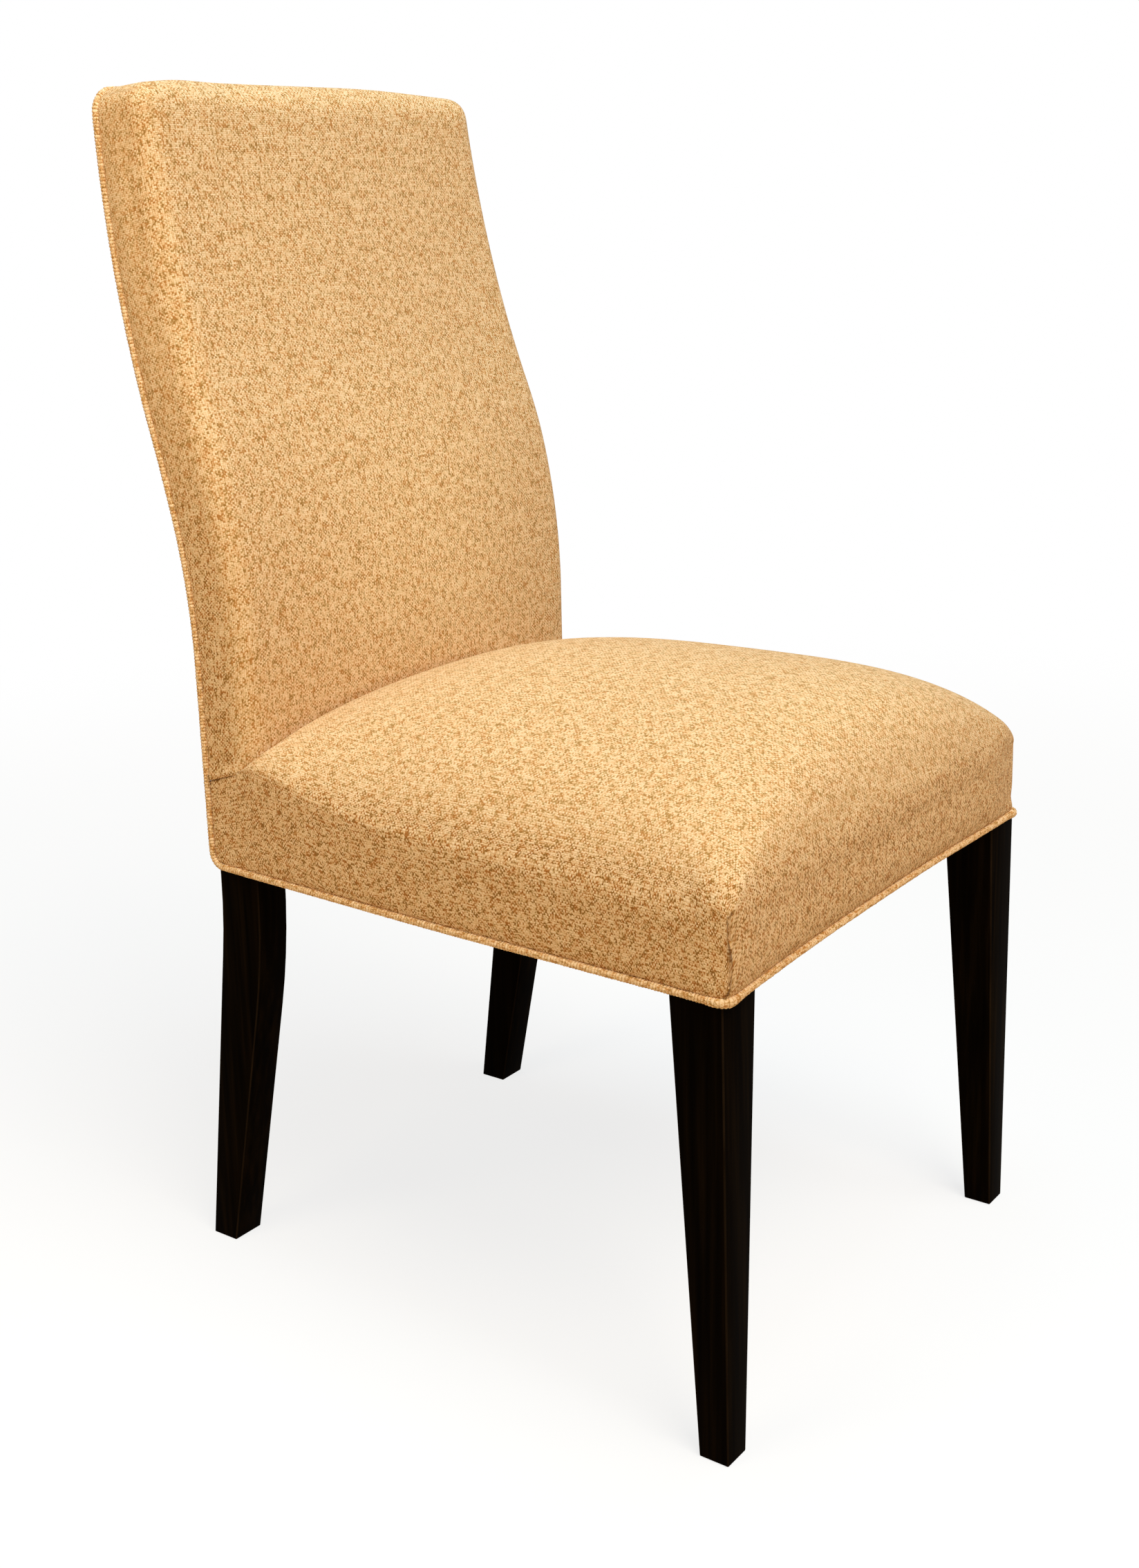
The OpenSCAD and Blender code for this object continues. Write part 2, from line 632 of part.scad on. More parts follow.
// Strips of batting fill the space between the rails and the cover
module rail_padding() color(white_fibre) at_origin() {
    inset = fabric_t + layer_gap;
    reach = leg_x - 4;
    xs = [for (k = [-6:6]) reach * k / 6];
    along_y(inset, leg_front_y - layer_gap)
        polygon(concat([for (x = xs) [x, cover_bottom + layer_gap + arch_at(x, 0)]],
            [[reach, foam_z - layer_gap], [-reach, foam_z - layer_gap]]));
    ys = [leg_rear_y + 35, seat_depth];
    mirrored() translate([0, 0, cover_bottom + layer_gap])
        linear_extrude(foam_z - cover_bottom - 2 * layer_gap)
            polygon(concat([for (y = ys) [rail_face(y) + layer_gap, y]],
                [for (y = reversed(ys)) [half_seat(y) - inset, y]]));
}
// The cover's sides run on past the seat, round the posts, to the rear corners
module cover_flap() {
    y0 = seat_depth;
    y1 = back_y + welt_inset - welt_r - layer_gap;
    r = welt_bend - welt_r - layer_gap;
    turn_y = back_y + welt_inset - welt_bend;
    turn_z = welt_z + welt_bend;
    intersection() {
        translate([0, 0, cover_bottom - 5]) linear_extrude(seam_z - cover_bottom + 10)
            polygon([[half_seat(y0) - fabric_t, y0], [half_seat(y0), y0],
                [half_seat(y1), y1], [half_seat(y1) - fabric_t, y1]]);
        along_x(0, seat_front_w)
            polygon(concat([[y0, cover_bottom]],
                [for (a = [-90:30:0]) [turn_y + r * cos(a), turn_z + r * sin(a)]],
                [[y1, seam_z - layer_gap], [y0, seam_z - layer_gap]]));
    }
}
// Behind the seat's rounded edge the cover also turns in and meets the foot of the back
return_w = 34;
module cover_return() {
    translate([half_seat(seat_depth) - return_w, back_face_y, foam_z])
        cube([return_w - layer_gap, fabric_t, seam_z - layer_gap - foam_z]);
}
module seat_cover() color(tweed) at_origin() {
    t = fabric_t;
    padded_form(
        concat([cover_rim(0), seat_wall(0, side_top)], seat_skin(0, 0)), seat_tip(0, 0),
        concat([cover_rim(t), seat_wall(t, side_top)], seat_skin(t, t)), seat_tip(t, t));
    mirrored() cover_flap();
    mirrored() cover_return();
}

// Back forms. The outline runs up the left side, over the top and down the right side.
back_side_steps = 9;
back_top_steps = 8;
back_corner_r = 15;
function back_right(i) = let (r = max(3, back_corner_r - i), top = back_top - i) concat(
    [for (k = [0:back_side_steps - 1]) [0, seam_z + (top - r - seam_z) * k / back_side_steps]],
    [for (k = [0:corner_steps]) let (a = 90 * k / corner_steps)
        [r * (1 - cos(a)), top - r * (1 - sin(a))]]);
// Points [x, height] of the outline, with inset i from the fabric's outer face
function back_outline(i) = let (
    right = [for (p = back_right(i)) [half_back(p[1]) - i - p[0], p[1]]],
    end = right[len(right) - 1][0]) concat(
    [for (p = right) [-p[0], p[1]]],
    [for (k = [1:back_top_steps - 1]) [-end + 2 * end * k / back_top_steps, back_top - i]],
    reversed(right));
function rise_at(x, z) = top_rise * (1 - pow(x / half_back(back_top), 2))
    * max(0, (z - lean_mid_z) / (back_top - lean_mid_z));
bulge_low = side_top + 40;
bulge_high = back_top - back_edge_r;
function bulge(x, z) = back_crown * max(0, 1 - pow(x / (half_back(z) - back_edge_r), 2))
    * sin(180 * max(0, min(1, (z - bulge_low) / (bulge_high - bulge_low))));
function back_point(x, z, d) = let (p = back_at(z + rise_at(x, z), d)) [x, p[0], p[1]];
function back_ring(i, d) = [for (p = back_outline(i)) back_point(p[0], p[1], d)];
back_scales = [0.87, 0.73, 0.58, 0.43, 0.28, 0.13];
function back_skin(i, d) = let (edge = back_outline(back_edge_r)) concat(
    [for (a = [0:30:90])
        back_ring(i + (back_edge_r - i) * (1 - cos(a)), d + (back_edge_r - d) * (1 - sin(a)))],
    [for (s = back_scales) [for (p = edge) let (x = p[0] * s, z = seam_z + (p[1] - seam_z) * s)
        back_point(x, z, d - bulge(x, z))]]);
function back_tip(d) = back_point(0, seam_z, d);
module back_foam() color(foam_colour) at_origin() {
    i = seat_foam_i;
    rear = concat(
        [for (a = [0:30:90]) back_ring(i + (back_edge_r - i) * (1 - cos(a)), foam_back_d)],
        [for (s = back_scales) [for (p = back_outline(back_edge_r))
            back_point(p[0] * s, seam_z + (p[1] - seam_z) * s, foam_back_d)]]);
    padded_form(back_skin(i, foam_d), back_tip(foam_d), rear, back_tip(foam_back_d));
}
module back_batting() color(white_fibre) at_origin() {
    i = fabric_t + layer_gap;
    j = seat_foam_i - layer_gap;
    d = stile_back_d - 3;
    padded_form(concat([back_ring(i, d)], back_skin(i, cover_d)), back_tip(cover_d),
        concat([back_ring(j, d)], back_skin(j, foam_d - layer_gap)), back_tip(foam_d - layer_gap));
}
module inside_back_cover() color(tweed) at_origin() {
    d = welt_centre_d - welt_r - layer_gap;
    padded_form(concat([back_ring(0, d)], back_skin(0, 0)), back_tip(0),
        concat([back_ring(fabric_t, d)], back_skin(fabric_t, fabric_t)), back_tip(fabric_t));
}
module outside_back_cover() color(tweed) at_origin() {
    i = welt_inset + welt_r + layer_gap;
    z0 = shoulder_z + layer_gap;
    top = back_outline(i);
    heights = concat([0], [for (p = back_right(i)) p[1]]);
    intersection() {
        along_x(-seat_rear_w, seat_rear_w) polygon(back_band(z0, back_top - i, panel_d, back_t));
        along_y(0, y_rear + 10) polygon(concat(
            [[-half_back(0) + i, 0]], [for (p = top) [p[0], p[1] - panel_d * sin(tilt(p[1]))]],
            [[half_back(0) - i, 0]]));
    }
}

// The welt is one loop: round the lower edge of the seat, up the rear edges and over the top
welt_bend = 12;
welt_turn = [0, 22.5, 45, 67.5, 90];
rear_corner_y = back_y + welt_inset - welt_bend;
function welt_half(n_front, n_side, n_back) = let (
    r = seat_corner_r - welt_inset,
    fx = half_seat(welt_inset + r) - welt_inset - r,
    z1 = welt_z + welt_bend,
    z2 = back_top - welt_inset - welt_bend)
    concat(
        [for (k = [0:n_front - 1]) let (x = fx * k / n_front)
            [x, welt_inset, welt_z + arch_at(x, 0)]],
        [for (a = welt_turn) [fx + r * sin(a), welt_inset + r * (1 - cos(a)), welt_z + arch_at(fx, 0)]],
        [for (k = [1:n_side]) let (y = welt_inset + r + (rear_corner_y - welt_inset - r) * k / n_side)
            [half_seat(y) - welt_inset, y, welt_z]],
        [for (a = [22.5, 45, 67.5, 90]) let (y = rear_corner_y + welt_bend * sin(a))
            [half_seat(y) - welt_inset, y, welt_z + welt_bend * (1 - cos(a))]],
        [for (k = [1:n_back]) let (z = z1 + (z2 - z1) * k / n_back, p = back_at(z, welt_centre_d))
            [half_back(z) - welt_inset, p[0], p[1]]],
        [for (a = [22.5, 45, 67.5, 90]) let (z = z2 + welt_bend * sin(a), p = back_at(z, welt_centre_d))
            [half_back(z) - welt_inset - welt_bend * (1 - cos(a)), p[0], p[1]]]);
function welt_loop() = let (
    right = welt_half(5, 5, 16),
    top_x = right[len(right) - 1][0],
    top = back_top - welt_inset,
    over = [for (k = [1:5]) let (
        x = top_x * (1 - k / 3), p = back_at(top + rise_at(x, top), welt_centre_d)) [x, p[0], p[1]]],
    left = reversed([for (k = [1:len(right) - 1]) right[k]]))
    concat(right, over, [for (p = left) [-p[0], p[1], p[2]]]);
// Each section of the loop is drawn in two directions: out from the upholstery, and square to both
function unit(v) = v / norm(v);
function loop_dir(path, k) = unit(path[(k + 1) % len(path)] - path[(k + len(path) - 1) % len(path)]);
function swept_points(path, section) = [for (k = [0:len(path) - 1])
    let (dir = loop_dir(path, k), u = unit(cross(dir, [0, -1, 1])), v = cross(dir, u))
        for (p = section) path[k] + p[0] * u + p[1] * v];
function swept_faces(rings, n) = [for (k = [0:rings - 1]) for (s = [0:n - 1]) let (
    a = k * n + s,
    b = k * n + (s + 1) % n,
    c = ((k + 1) % rings) * n + s,
    d = ((k + 1) % rings) * n + (s + 1) % n)
    each [[a, b, c], [b, d, c]]];
module swept_loop(section) {
    path = welt_loop();
    polyhedron(points = swept_points(path, section), faces = swept_faces(len(path), len(section)),
        convexity = 10);
}
// The welt's strip of fabric wraps the cord and stays open along the side that is sewn in
sleeve_in_r = filler_d / 2 + 0.7;
module welt() color(tweed) at_origin() swept_loop(concat(
    [for (k = [-4:4]) welt_r * [cos(42 * k), sin(42 * k)]],
    [for (k = [2.5:-1:-2.5]) sleeve_in_r * [cos(66 * k), sin(66 * k)]]));
module welt_filler_cord() color(white_fibre) at_origin()
    swept_loop([for (k = [0:7]) filler_d / 2 * [cos(45 * k), sin(45 * k)]]);

// The dust cover is stapled to the underside of the rails
staple_t = 0.6;
staple_leg = 7;
front_staples = [for (k = [-2:2]) [k * (leg_x - leg_w - 20) / 2, leg_front_y + rail_t / 2, 0]];
rear_staples = [for (k = [-2:2]) [k * (post_x - post_w - 20) / 2, rear_rail_y + rail_t / 2, 0]];
side_staples = [for (k = [0:5]) let (y = leg_rear_y + 30 + k * (post_front_y - leg_rear_y - 60) / 5)
    [rail_face(y) - rail_t / 2, y, 90]];
module staple_legs(places, gap) {
    for (p = places) translate([p[0], p[1], rail_bottom - dust_t]) rotate([0, 0, p[2]])
        for (side = [-1, 1])
            translate([side * (staple_w - staple_t) / 2 - staple_t / 2 - gap, -staple_t / 2 - gap, -gap])
                cube([staple_t + 2 * gap, staple_t + 2 * gap, staple_leg + 2 * gap]);
}
module staples(places) {
    staple_legs(places, 0);
    for (p = places) translate([p[0], p[1], rail_bottom - dust_t - staple_t]) rotate([0, 0, p[2]])
        translate([-staple_w / 2, -staple_t / 2, 0]) cube([staple_w, staple_t, staple_t]);
}
module dust_cover_staples() color(steel) at_origin() {
    staples(front_staples);
    staples(rear_staples);
    mirrored() staples(side_staples);
}
module dust_cover() color(black_cloth) at_origin() {
    y0 = leg_front_y + 4;
    y1 = leg_front_y + leg_w + 1;
    y2 = post_front_y - 1;
    y3 = rear_rail_y + rail_t - 4;
    right = [[leg_x - leg_w - 1, y0], [leg_x - leg_w - 1, y1], [rail_face(y1) - 4, y1],
        [rail_face(y2) - 4, y2], [post_x - post_w - 1, y2], [post_x - post_w - 1, y3]];
    difference() {
        translate([0, 0, rail_bottom - dust_t]) linear_extrude(dust_t)
            polygon(concat(right, [for (p = reversed(right)) [-p[0], p[1]]]));
        staple_legs(front_staples, bore_gap);
        staple_legs(rear_staples, bore_gap);
        mirrored() staple_legs(side_staples, bore_gap);
    }
}

front_leg_left();
front_leg_right();
back_post_left();
back_post_right();
front_rail();
rear_rail();
left_rail();
right_rail();
crest_rail();
back_lower_rail();
corner_block_front_left();
corner_block_front_right();
corner_block_rear_left();
corner_block_rear_right();
seat_frame_dowels();
back_frame_dowels();
corner_block_screws();
seat_webbing_lengthwise();
seat_webbing_crosswise();
seat_burlap();
back_webbing();
back_burlap();
back_tack_strip();
back_edge_strips();
rail_padding();
seat_foam();
seat_batting();
seat_cover();
back_foam();
back_batting();
inside_back_cover();
outside_back_cover();
welt();
welt_filler_cord();
dust_cover();
dust_cover_staples();
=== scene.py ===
# %% [markdown]
# # An upholstered side chair
# This lesson dresses the measured frame of a padded dining chair. The frame comes from the CAD
# model: legs, rails, webbing and padding sit where they belong. What the eye sees is made here:
# the seat and back covers in tan tweed, the ribbed welt along their edges, the legs with eased
# edges, and the cloth underneath.

# %% Load the frame
import json
import math

import bmesh
import bpy
import numpy as np
from mathutils import Matrix, Vector

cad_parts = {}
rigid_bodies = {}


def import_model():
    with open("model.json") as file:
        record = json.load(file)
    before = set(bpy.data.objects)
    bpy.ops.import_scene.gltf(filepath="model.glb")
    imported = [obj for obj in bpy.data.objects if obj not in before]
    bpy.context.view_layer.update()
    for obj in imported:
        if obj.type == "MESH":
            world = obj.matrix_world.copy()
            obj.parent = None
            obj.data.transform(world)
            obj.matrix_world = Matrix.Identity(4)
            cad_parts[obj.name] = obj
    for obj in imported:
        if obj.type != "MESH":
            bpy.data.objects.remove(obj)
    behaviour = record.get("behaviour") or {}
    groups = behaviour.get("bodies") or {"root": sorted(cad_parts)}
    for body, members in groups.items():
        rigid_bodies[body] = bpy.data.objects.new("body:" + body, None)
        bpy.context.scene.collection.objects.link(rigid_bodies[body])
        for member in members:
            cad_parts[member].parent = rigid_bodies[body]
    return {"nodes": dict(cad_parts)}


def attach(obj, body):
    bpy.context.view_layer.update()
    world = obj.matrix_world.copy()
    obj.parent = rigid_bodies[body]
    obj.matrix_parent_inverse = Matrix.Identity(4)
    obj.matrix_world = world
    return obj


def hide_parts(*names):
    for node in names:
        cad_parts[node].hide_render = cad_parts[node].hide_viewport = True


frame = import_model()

for leftover in list(bpy.data.objects):
    if leftover.name not in frame["nodes"] and not leftover.name.startswith("body:"):
        bpy.data.objects.remove(leftover)
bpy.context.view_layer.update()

# %% [markdown]
# ## The chair in numbers
# An upholsterer works from a few sizes: how wide the seat is at the front and at the back, how
# far it rises, and how the back leans. The same sizes drive the CAD model, in millimetres, with
# y counted from the front face of the seat. Functions are used instead of tables, because every
# layer of the chair then follows one curve.

# %% Sizes
MM = 0.001
SEAT_FRONT_W, SEAT_REAR_W, SEAT_DEPTH = 497.0, 441.0, 468.0
SIDE_TOP, CROWN_H, CROWN_Y, CROWN_FALL = 431.5, 99.5, 200.0, 42.0
SIDE_POWER, SIDE_ROUND, FRONT_POWER, FRONT_ROUND, REAR_POWER = 2.1, 0.53, 3.4, 0.3, 3
FRONT_ARCH, SEAT_CORNER_R, FRONT_BACK, FRONT_SKEW = 8.0, 9.0, 4.0, 3.5
BACK_TOP, BACK_TOP_W, NARROW_Z, BACK_T, NARROW_POWER = 985.0, 406.0, 684.0, 53.0, 1.2
LEAN_LOW, LEAN_MID, LEAN_MAX, LEAN_TOP = 532.0, 728.0, math.radians(19.2), math.radians(4.4)
TOP_RISE, BACK_CROWN, BACK_EDGE_R = 3.0, 8.0, 18.0
TOP_SWELLS = ((2.2, -152, 32), (1.8, 78, 70))  # height, place across and width
WELT_R, WELT_INSET, WELT_Z, WELT_BEND = 3.05, 1.0, 365.0, 12.0
COVER_BOTTOM, SEAM_Z, SEAM_FALL = 367.3, 455.0, 16.0
BACK_FACE_Y = SEAT_DEPTH + 0.3
BACK_Y = BACK_FACE_Y + BACK_T

# %% Curves of the chair
R_LOW = (LEAN_MID - LEAN_LOW) / math.sin(LEAN_MAX)
R_HIGH = (BACK_TOP - LEAN_MID) / (math.sin(LEAN_MAX) - math.sin(LEAN_TOP))


def ramp(value, start, end):
    """0 at start and 1 at end, straight between them and level beyond."""
    return np.clip((value - start) / (end - start), 0, 1)


def ease(value, start, end):
    """A ramp with soft ends."""
    share = ramp(value, start, end)
    return share ** 2 * (3 - 2 * share)


def tilt(z):
    """Lean of the back from the vertical at height z, in radians."""
    low = np.arcsin(np.clip((z - LEAN_LOW) / R_LOW, 0, math.sin(LEAN_MAX)))
    high = np.arcsin(np.clip(math.sin(LEAN_MAX) - (z - LEAN_MID) / R_HIGH, 0, 1))
    return np.where(z < LEAN_MID, low, high)


def back_at(z, d):
    """(y, z) of the point at height z on the front of the back and depth d behind it."""
    t = tilt(z)
    low = R_LOW * (1 - np.cos(t))
    high = R_LOW * (1 - math.cos(LEAN_MAX)) + R_HIGH * (np.cos(t) - math.cos(LEAN_MAX))
    lean = np.where(z < LEAN_MID, low, high)
    return BACK_FACE_Y + lean + d * np.cos(t), z - d * np.sin(t)


def half_back(z):
    """Half the width of the back at height z."""
    share = np.clip((z - NARROW_Z) / (BACK_TOP - NARROW_Z), 0, 1.1)
    return (SEAT_REAR_W - (SEAT_REAR_W - BACK_TOP_W) * share ** NARROW_POWER) / 2


def top_rise(x, z):
    """How far the top of the back stands above level: it arches and isn't quite even."""
    arch = TOP_RISE * (1 - (x / 200) ** 2)
    for height, place, width in TOP_SWELLS:
        arch = arch + height * np.exp(-((x - place) / width) ** 2)
    return arch * ramp(z, LEAN_MID, BACK_TOP) ** 2


def half_seat(y):
    """Half the width of the seat at depth y."""
    return (SEAT_FRONT_W - (SEAT_FRONT_W - SEAT_REAR_W) * y / BACK_Y) / 2


def sewn_by_hand(x, y, foot=1.0):
    """How far the front sits back: all along its foot, and more at its right end."""
    return (FRONT_BACK * foot + FRONT_SKEW * ease(x, -70, 240)) * ramp(y, 150, 0) ** 2


def right_drawn_in(x, y):
    """How far the right side is drawn in towards the front."""
    return np.clip(x - 200, 0, 50) * 0.03 * ramp(y, 200, 0)


def hem_shift(x, y):
    """The hem isn't level: a little higher in front, and lower along the rear of the sides."""
    front = 1.0 + 1.5 * ramp(x, 0, 240) + 3.2 * ramp(x, 130, 240) ** 2
    return front * ramp(y, 100, 0) - 2.5 * ease(y, 60, 300)


def crown(y):
    """Rise of the middle of the seat above its sides."""
    ahead = ramp(y, CROWN_Y, 0)
    behind = np.clip((y - CROWN_Y) / (SEAT_DEPTH - CROWN_Y), 0, 2)
    return np.where(y < CROWN_Y, CROWN_H * (1 - ahead ** FRONT_POWER) ** FRONT_ROUND,
                    CROWN_H - CROWN_FALL * behind ** REAR_POWER)


def seam_fall(d):
    """How far the seam beside the back has come down at depth d behind its front."""
    return SEAM_FALL * ramp(d, 0, BACK_T - 1)


def side_top(y):
    """Top of the side of the seat, which is pulled up to the seam beside the back."""
    seam = SEAM_Z - 1.5 - seam_fall(y - SEAT_DEPTH)
    return SIDE_TOP + (seam - SIDE_TOP) * ease(y, 330, SEAT_DEPTH)


def dome(across):
    """Section of the seat from side to side: 1 in the middle and 0 at the side."""
    return (1 - np.clip(np.abs(across), 0, 1) ** SIDE_POWER) ** SIDE_ROUND


def seat_height(across, y):
    """Height of the seat: across is 0 in the middle and 1 at the side."""
    low = side_top(y)
    return low + (SIDE_TOP + crown(y) - low) * dome(across)


Y_REAR = float(back_at(BACK_TOP - WELT_R, BACK_T + WELT_INSET)[0]) + WELT_R
MID_Y = (WELT_INSET - WELT_R + Y_REAR) / 2


def placed(x, y, z):
    """Millimetres of the workshop to metres of the frame."""
    return np.stack([x * MM, (y - MID_Y) * MM, z * MM], -1)


lean_at_top = float(back_at(BACK_TOP, 0)[0]) - BACK_FACE_Y
print("middle of the depth", round(MID_Y, 2), "lean at the top", round(lean_at_top, 1))

# %% [markdown]
# ## Camera
# The picture was taken from the left front, a little above the seat, with a moderately long
# lens. The camera is set up first, so that every piece can be judged from there.

# %% Camera
PICTURE_W, PICTURE_H, SENSOR = 1648, 2268, 36
FOCAL_PX, CENTRE_X, CENTRE_Y = 2756.28, 828.36, 1118.27
EYE = (-1265.73, -612.15, 879.51)
yaw, pitch, roll = math.radians(53.98), math.radians(16.35), math.radians(1.24)
level = math.cos(pitch)
ahead = Vector((math.sin(yaw) * level, math.cos(yaw) * level, -math.sin(pitch)))
right = Vector((math.cos(yaw), -math.sin(yaw), 0))
down = ahead.cross(right)
turned_right = math.cos(roll) * right + math.sin(roll) * down
turned_down = -math.sin(roll) * right + math.cos(roll) * down
camera_data = bpy.data.cameras.new("camera")
camera = bpy.data.objects.new("camera", camera_data)
bpy.context.scene.collection.objects.link(camera)
turn = Matrix((turned_right, -turned_down, -ahead)).transposed().to_4x4()
camera.matrix_world = Matrix.Translation(placed(*EYE)) @ turn
camera_data.sensor_width = SENSOR
camera_data.lens = FOCAL_PX * SENSOR / PICTURE_H
camera_data.shift_x = (PICTURE_W / 2 - CENTRE_X) / PICTURE_H
camera_data.shift_y = (CENTRE_Y - PICTURE_H / 2) / PICTURE_H
camera_data.clip_end = 30
bpy.context.scene.camera = camera
print("camera at", [round(v, 3) for v in camera.location], "lens", round(camera_data.lens, 2))

# %% [markdown]
# ## Nodes
# The world, the floor and every finish are made of nodes. A net adds nodes to one of them: each
# of its functions feeds a new node with numbers or with what other nodes put out, and returns
# what the new one puts out.


# %% Helpers for nodes
class Net:
    """The nodes of one material or world."""

    def __init__(self, owner, keep=False):
        owner.use_nodes = True
        self.owner, self.tree = owner, owner.node_tree
        if not keep:
            self.tree.nodes.clear()

    def feed(self, node, inputs):
        """Types numbers into the inputs of a node, or joins other nodes to them."""
        for slot, value in inputs.items():
            if isinstance(value, (int, float, tuple)):
                node.inputs[slot].default_value = value
            else:
                self.tree.links.new(value, node.inputs[slot])

    def add(self, kind, inputs={}, give=0, **settings):
        node = self.tree.nodes.new("ShaderNode" + kind)
        for key, value in settings.items():
            setattr(node, key, value)
        self.feed(node, inputs)
        return node.outputs[give] if len(node.outputs) else node

    def calc(self, operation, *values):
        return self.add("Math", dict(enumerate(values)), operation=operation)

    def times(self, first, second):
        return self.calc("MULTIPLY", first, second)

    def minus(self, first, second):
        return self.calc("SUBTRACT", first, second)

    def nudged(self, value, by, amount, middle=0.5):
        """The value, moved by how far another one is from its middle."""
        return self.calc("MULTIPLY_ADD", self.minus(by, middle), amount, value)

    def mixed(self, share, first, second):
        return self.add("Mix", {0: share, 2: first, 3: second}, data_type="FLOAT")

    def shade_mix(self, share, first, second, blend="MIX"):
        return self.add("Mix", {0: share, 6: first, 7: second}, 2,
                        data_type="RGBA", blend_type=blend)

    def place(self, x, y, z):
        return self.add("CombineXYZ", {0: x, 1: y, 2: z})

    def scaled(self, x, x_scale, y, y_scale, z):
        return self.place(self.times(x, x_scale), self.times(y, y_scale), z)

    def noise(self, place, scale, detail=0.0):
        return self.add("TexNoise", {"Scale": scale, "Detail": detail, "Vector": place}, "Fac")

    def number(self, name):
        """A number that the piece keeps for its points or faces."""
        return self.add("Attribute", {}, "Fac", attribute_name=name)

    def stepped(self, value, low, high):
        """0 below low and 1 above high, with a soft step between them."""
        return self.add("MapRange", {"Value": value, "From Min": low, "From Max": high},
                        interpolation_type="SMOOTHSTEP")

    def shades(self, value, stops):
        """A colour ramp through (position, linear colour) stops."""
        colours = self.add("ValToRGB", {0: value})
        elements = colours.node.color_ramp.elements
        while len(elements) < len(stops):
            elements.new(0.5)
        for element, (position, colour) in zip(elements, stops):
            element.position = position
            element.color = (*colour, 1)
        return colours

    def seen(self):
        """1 for camera, glossy and clear rays, and 0 for rays that only carry light around."""
        path = self.tree.nodes.new("ShaderNodeLightPath").outputs
        straight = self.calc("MAXIMUM", path["Is Camera Ray"], path["Is Glossy Ray"])
        return self.calc("MAXIMUM", straight, path["Is Transmission Ray"])

    def object_place(self, scale):
        """The object's own coordinates, stretched by a Mapping node."""
        source = self.add("TexCoord", {}, "Object")
        return self.add("Mapping", {"Scale": scale, "Vector": source})

    def paint(self, colour):
        self.feed(self.shader, {"Base Color": colour})

    def raised(self, height, distance, strength):
        bump = self.add("Bump", {"Distance": distance, "Strength": strength, "Height": height})
        self.feed(self.shader, {"Normal": bump})


def finish_of(name, roughness, specular, **more):
    """A new material with its shader, and the numbers that are the same all over."""
    net = Net(bpy.data.materials.new(name), keep=True)
    net.shader = next(node for node in net.tree.nodes if node.type == "BSDF_PRINCIPLED")
    net.feed(net.shader, {"Roughness": roughness, "Specular IOR Level": specular, **more})
    return net


# %% [markdown]
# ## Floor, backdrop and light
# Upholstery is judged in soft, plain light. A broad daylight comes from high in front. Three
# softboxes light the back more than the front of the seat, a narrow lamp reaches the lowest part
# of the back, and the world adds a little from everywhere. The floor is pale and warm, and
# through the Light Path node the camera sees it as nearly white, more so further away, so the
# soft shadow stays and no horizon shows.


# %% Floor and world
def fresh(action, **settings):
    """Deselects everything, runs one operator that adds an object, and returns it."""
    bpy.ops.object.select_all(action="DESELECT")
    action(**settings)
    return bpy.context.active_object


WHITE = (1, 1, 1, 1)
world = bpy.context.scene.world or bpy.data.worlds.new("world")
bpy.context.scene.world = world
net = Net(world)
soft_sky = net.add("Background", {"Color": (1.0, 0.93, 0.82, 1), "Strength": 0.11})
white_sky = net.add("Background", {"Color": WHITE, "Strength": 1.0})
net.add("OutputWorld", {0: net.add("MixShader", {0: net.seen(), 1: soft_sky, 2: white_sky})})

FLOOR_DROP = 0.0004
floor = fresh(bpy.ops.mesh.primitive_circle_add,
              vertices=96, radius=9, fill_type="NGON", location=(0, 0, -FLOOR_DROP))
floor.name = "floor"
net = Net(bpy.data.materials.new("pale_floor"))
floor_colour = net.shade_mix(net.seen(), (0.80, 0.62, 0.40, 1), (0.93, 0.93, 0.93, 1))
lit_floor = net.add("BsdfDiffuse", {"Color": floor_colour})
spot = net.add("TexCoord", {}, "Object")
from_middle = net.add("VectorMath", {0: spot}, "Value", operation="LENGTH")
whiteness = net.add("MapRange", {"Value": from_middle, "From Min": 0.7, "From Max": 2.6,
                                 "To Min": 0.8, "To Max": 1.0}, interpolation_type="SMOOTHSTEP")
white_floor = net.add("Emission", {"Color": WHITE, "Strength": 1.0})
share = net.times(net.seen(), whiteness)
net.add("OutputMaterial", {0: net.add("MixShader", {0: share, 1: lit_floor, 2: white_floor})})
floor.data.materials.append(net.owner)


# %% Lamps
def aimed(name, kind, place, aim, colour, **settings):
    """A lamp at a place that looks at a point; for the sun only the direction matters."""
    lamp = bpy.data.objects.new(name, bpy.data.lights.new(name, kind))
    bpy.context.scene.collection.objects.link(lamp)
    lamp.location = place
    lamp.rotation_mode = "QUATERNION"
    lamp.rotation_quaternion = (Vector(aim) - Vector(place)).to_track_quat("-Z", "Y")
    for key, value in dict(settings, color=colour).items():
        setattr(lamp.data, key, value)


aimed("daylight", "SUN", (-0.3, -1.3, 2.7), (0, 0, 0), (1.0, 0.96, 0.88),
      energy=1.5, angle=math.radians(40))
aimed("key_lamp", "AREA", (-0.9, -1.9, 2.9), (0, 0, 0.6), (1.0, 0.90, 0.74), energy=51.5, size=1.5)
aimed("top_lamp", "AREA", (0.0, -0.2, 2.3), (0, 0, 0.5), (0.46, 0.76, 1.0), energy=17.2, size=0.9)
aimed("side_lamp", "AREA", (-1.5, 0.35, 1.55), (0, 0.1, 0.6), (1.0, 0.89, 0.68),
      energy=11.0, size=0.9)
aimed("fill_lamp", "SPOT", (0.1, -2.2, 1.05), (0.01, 0.17, 0.56), (0.80, 1.0, 0.93),
      energy=54.0, shadow_soft_size=0.1, spot_size=math.radians(9.5), spot_blend=1.0)
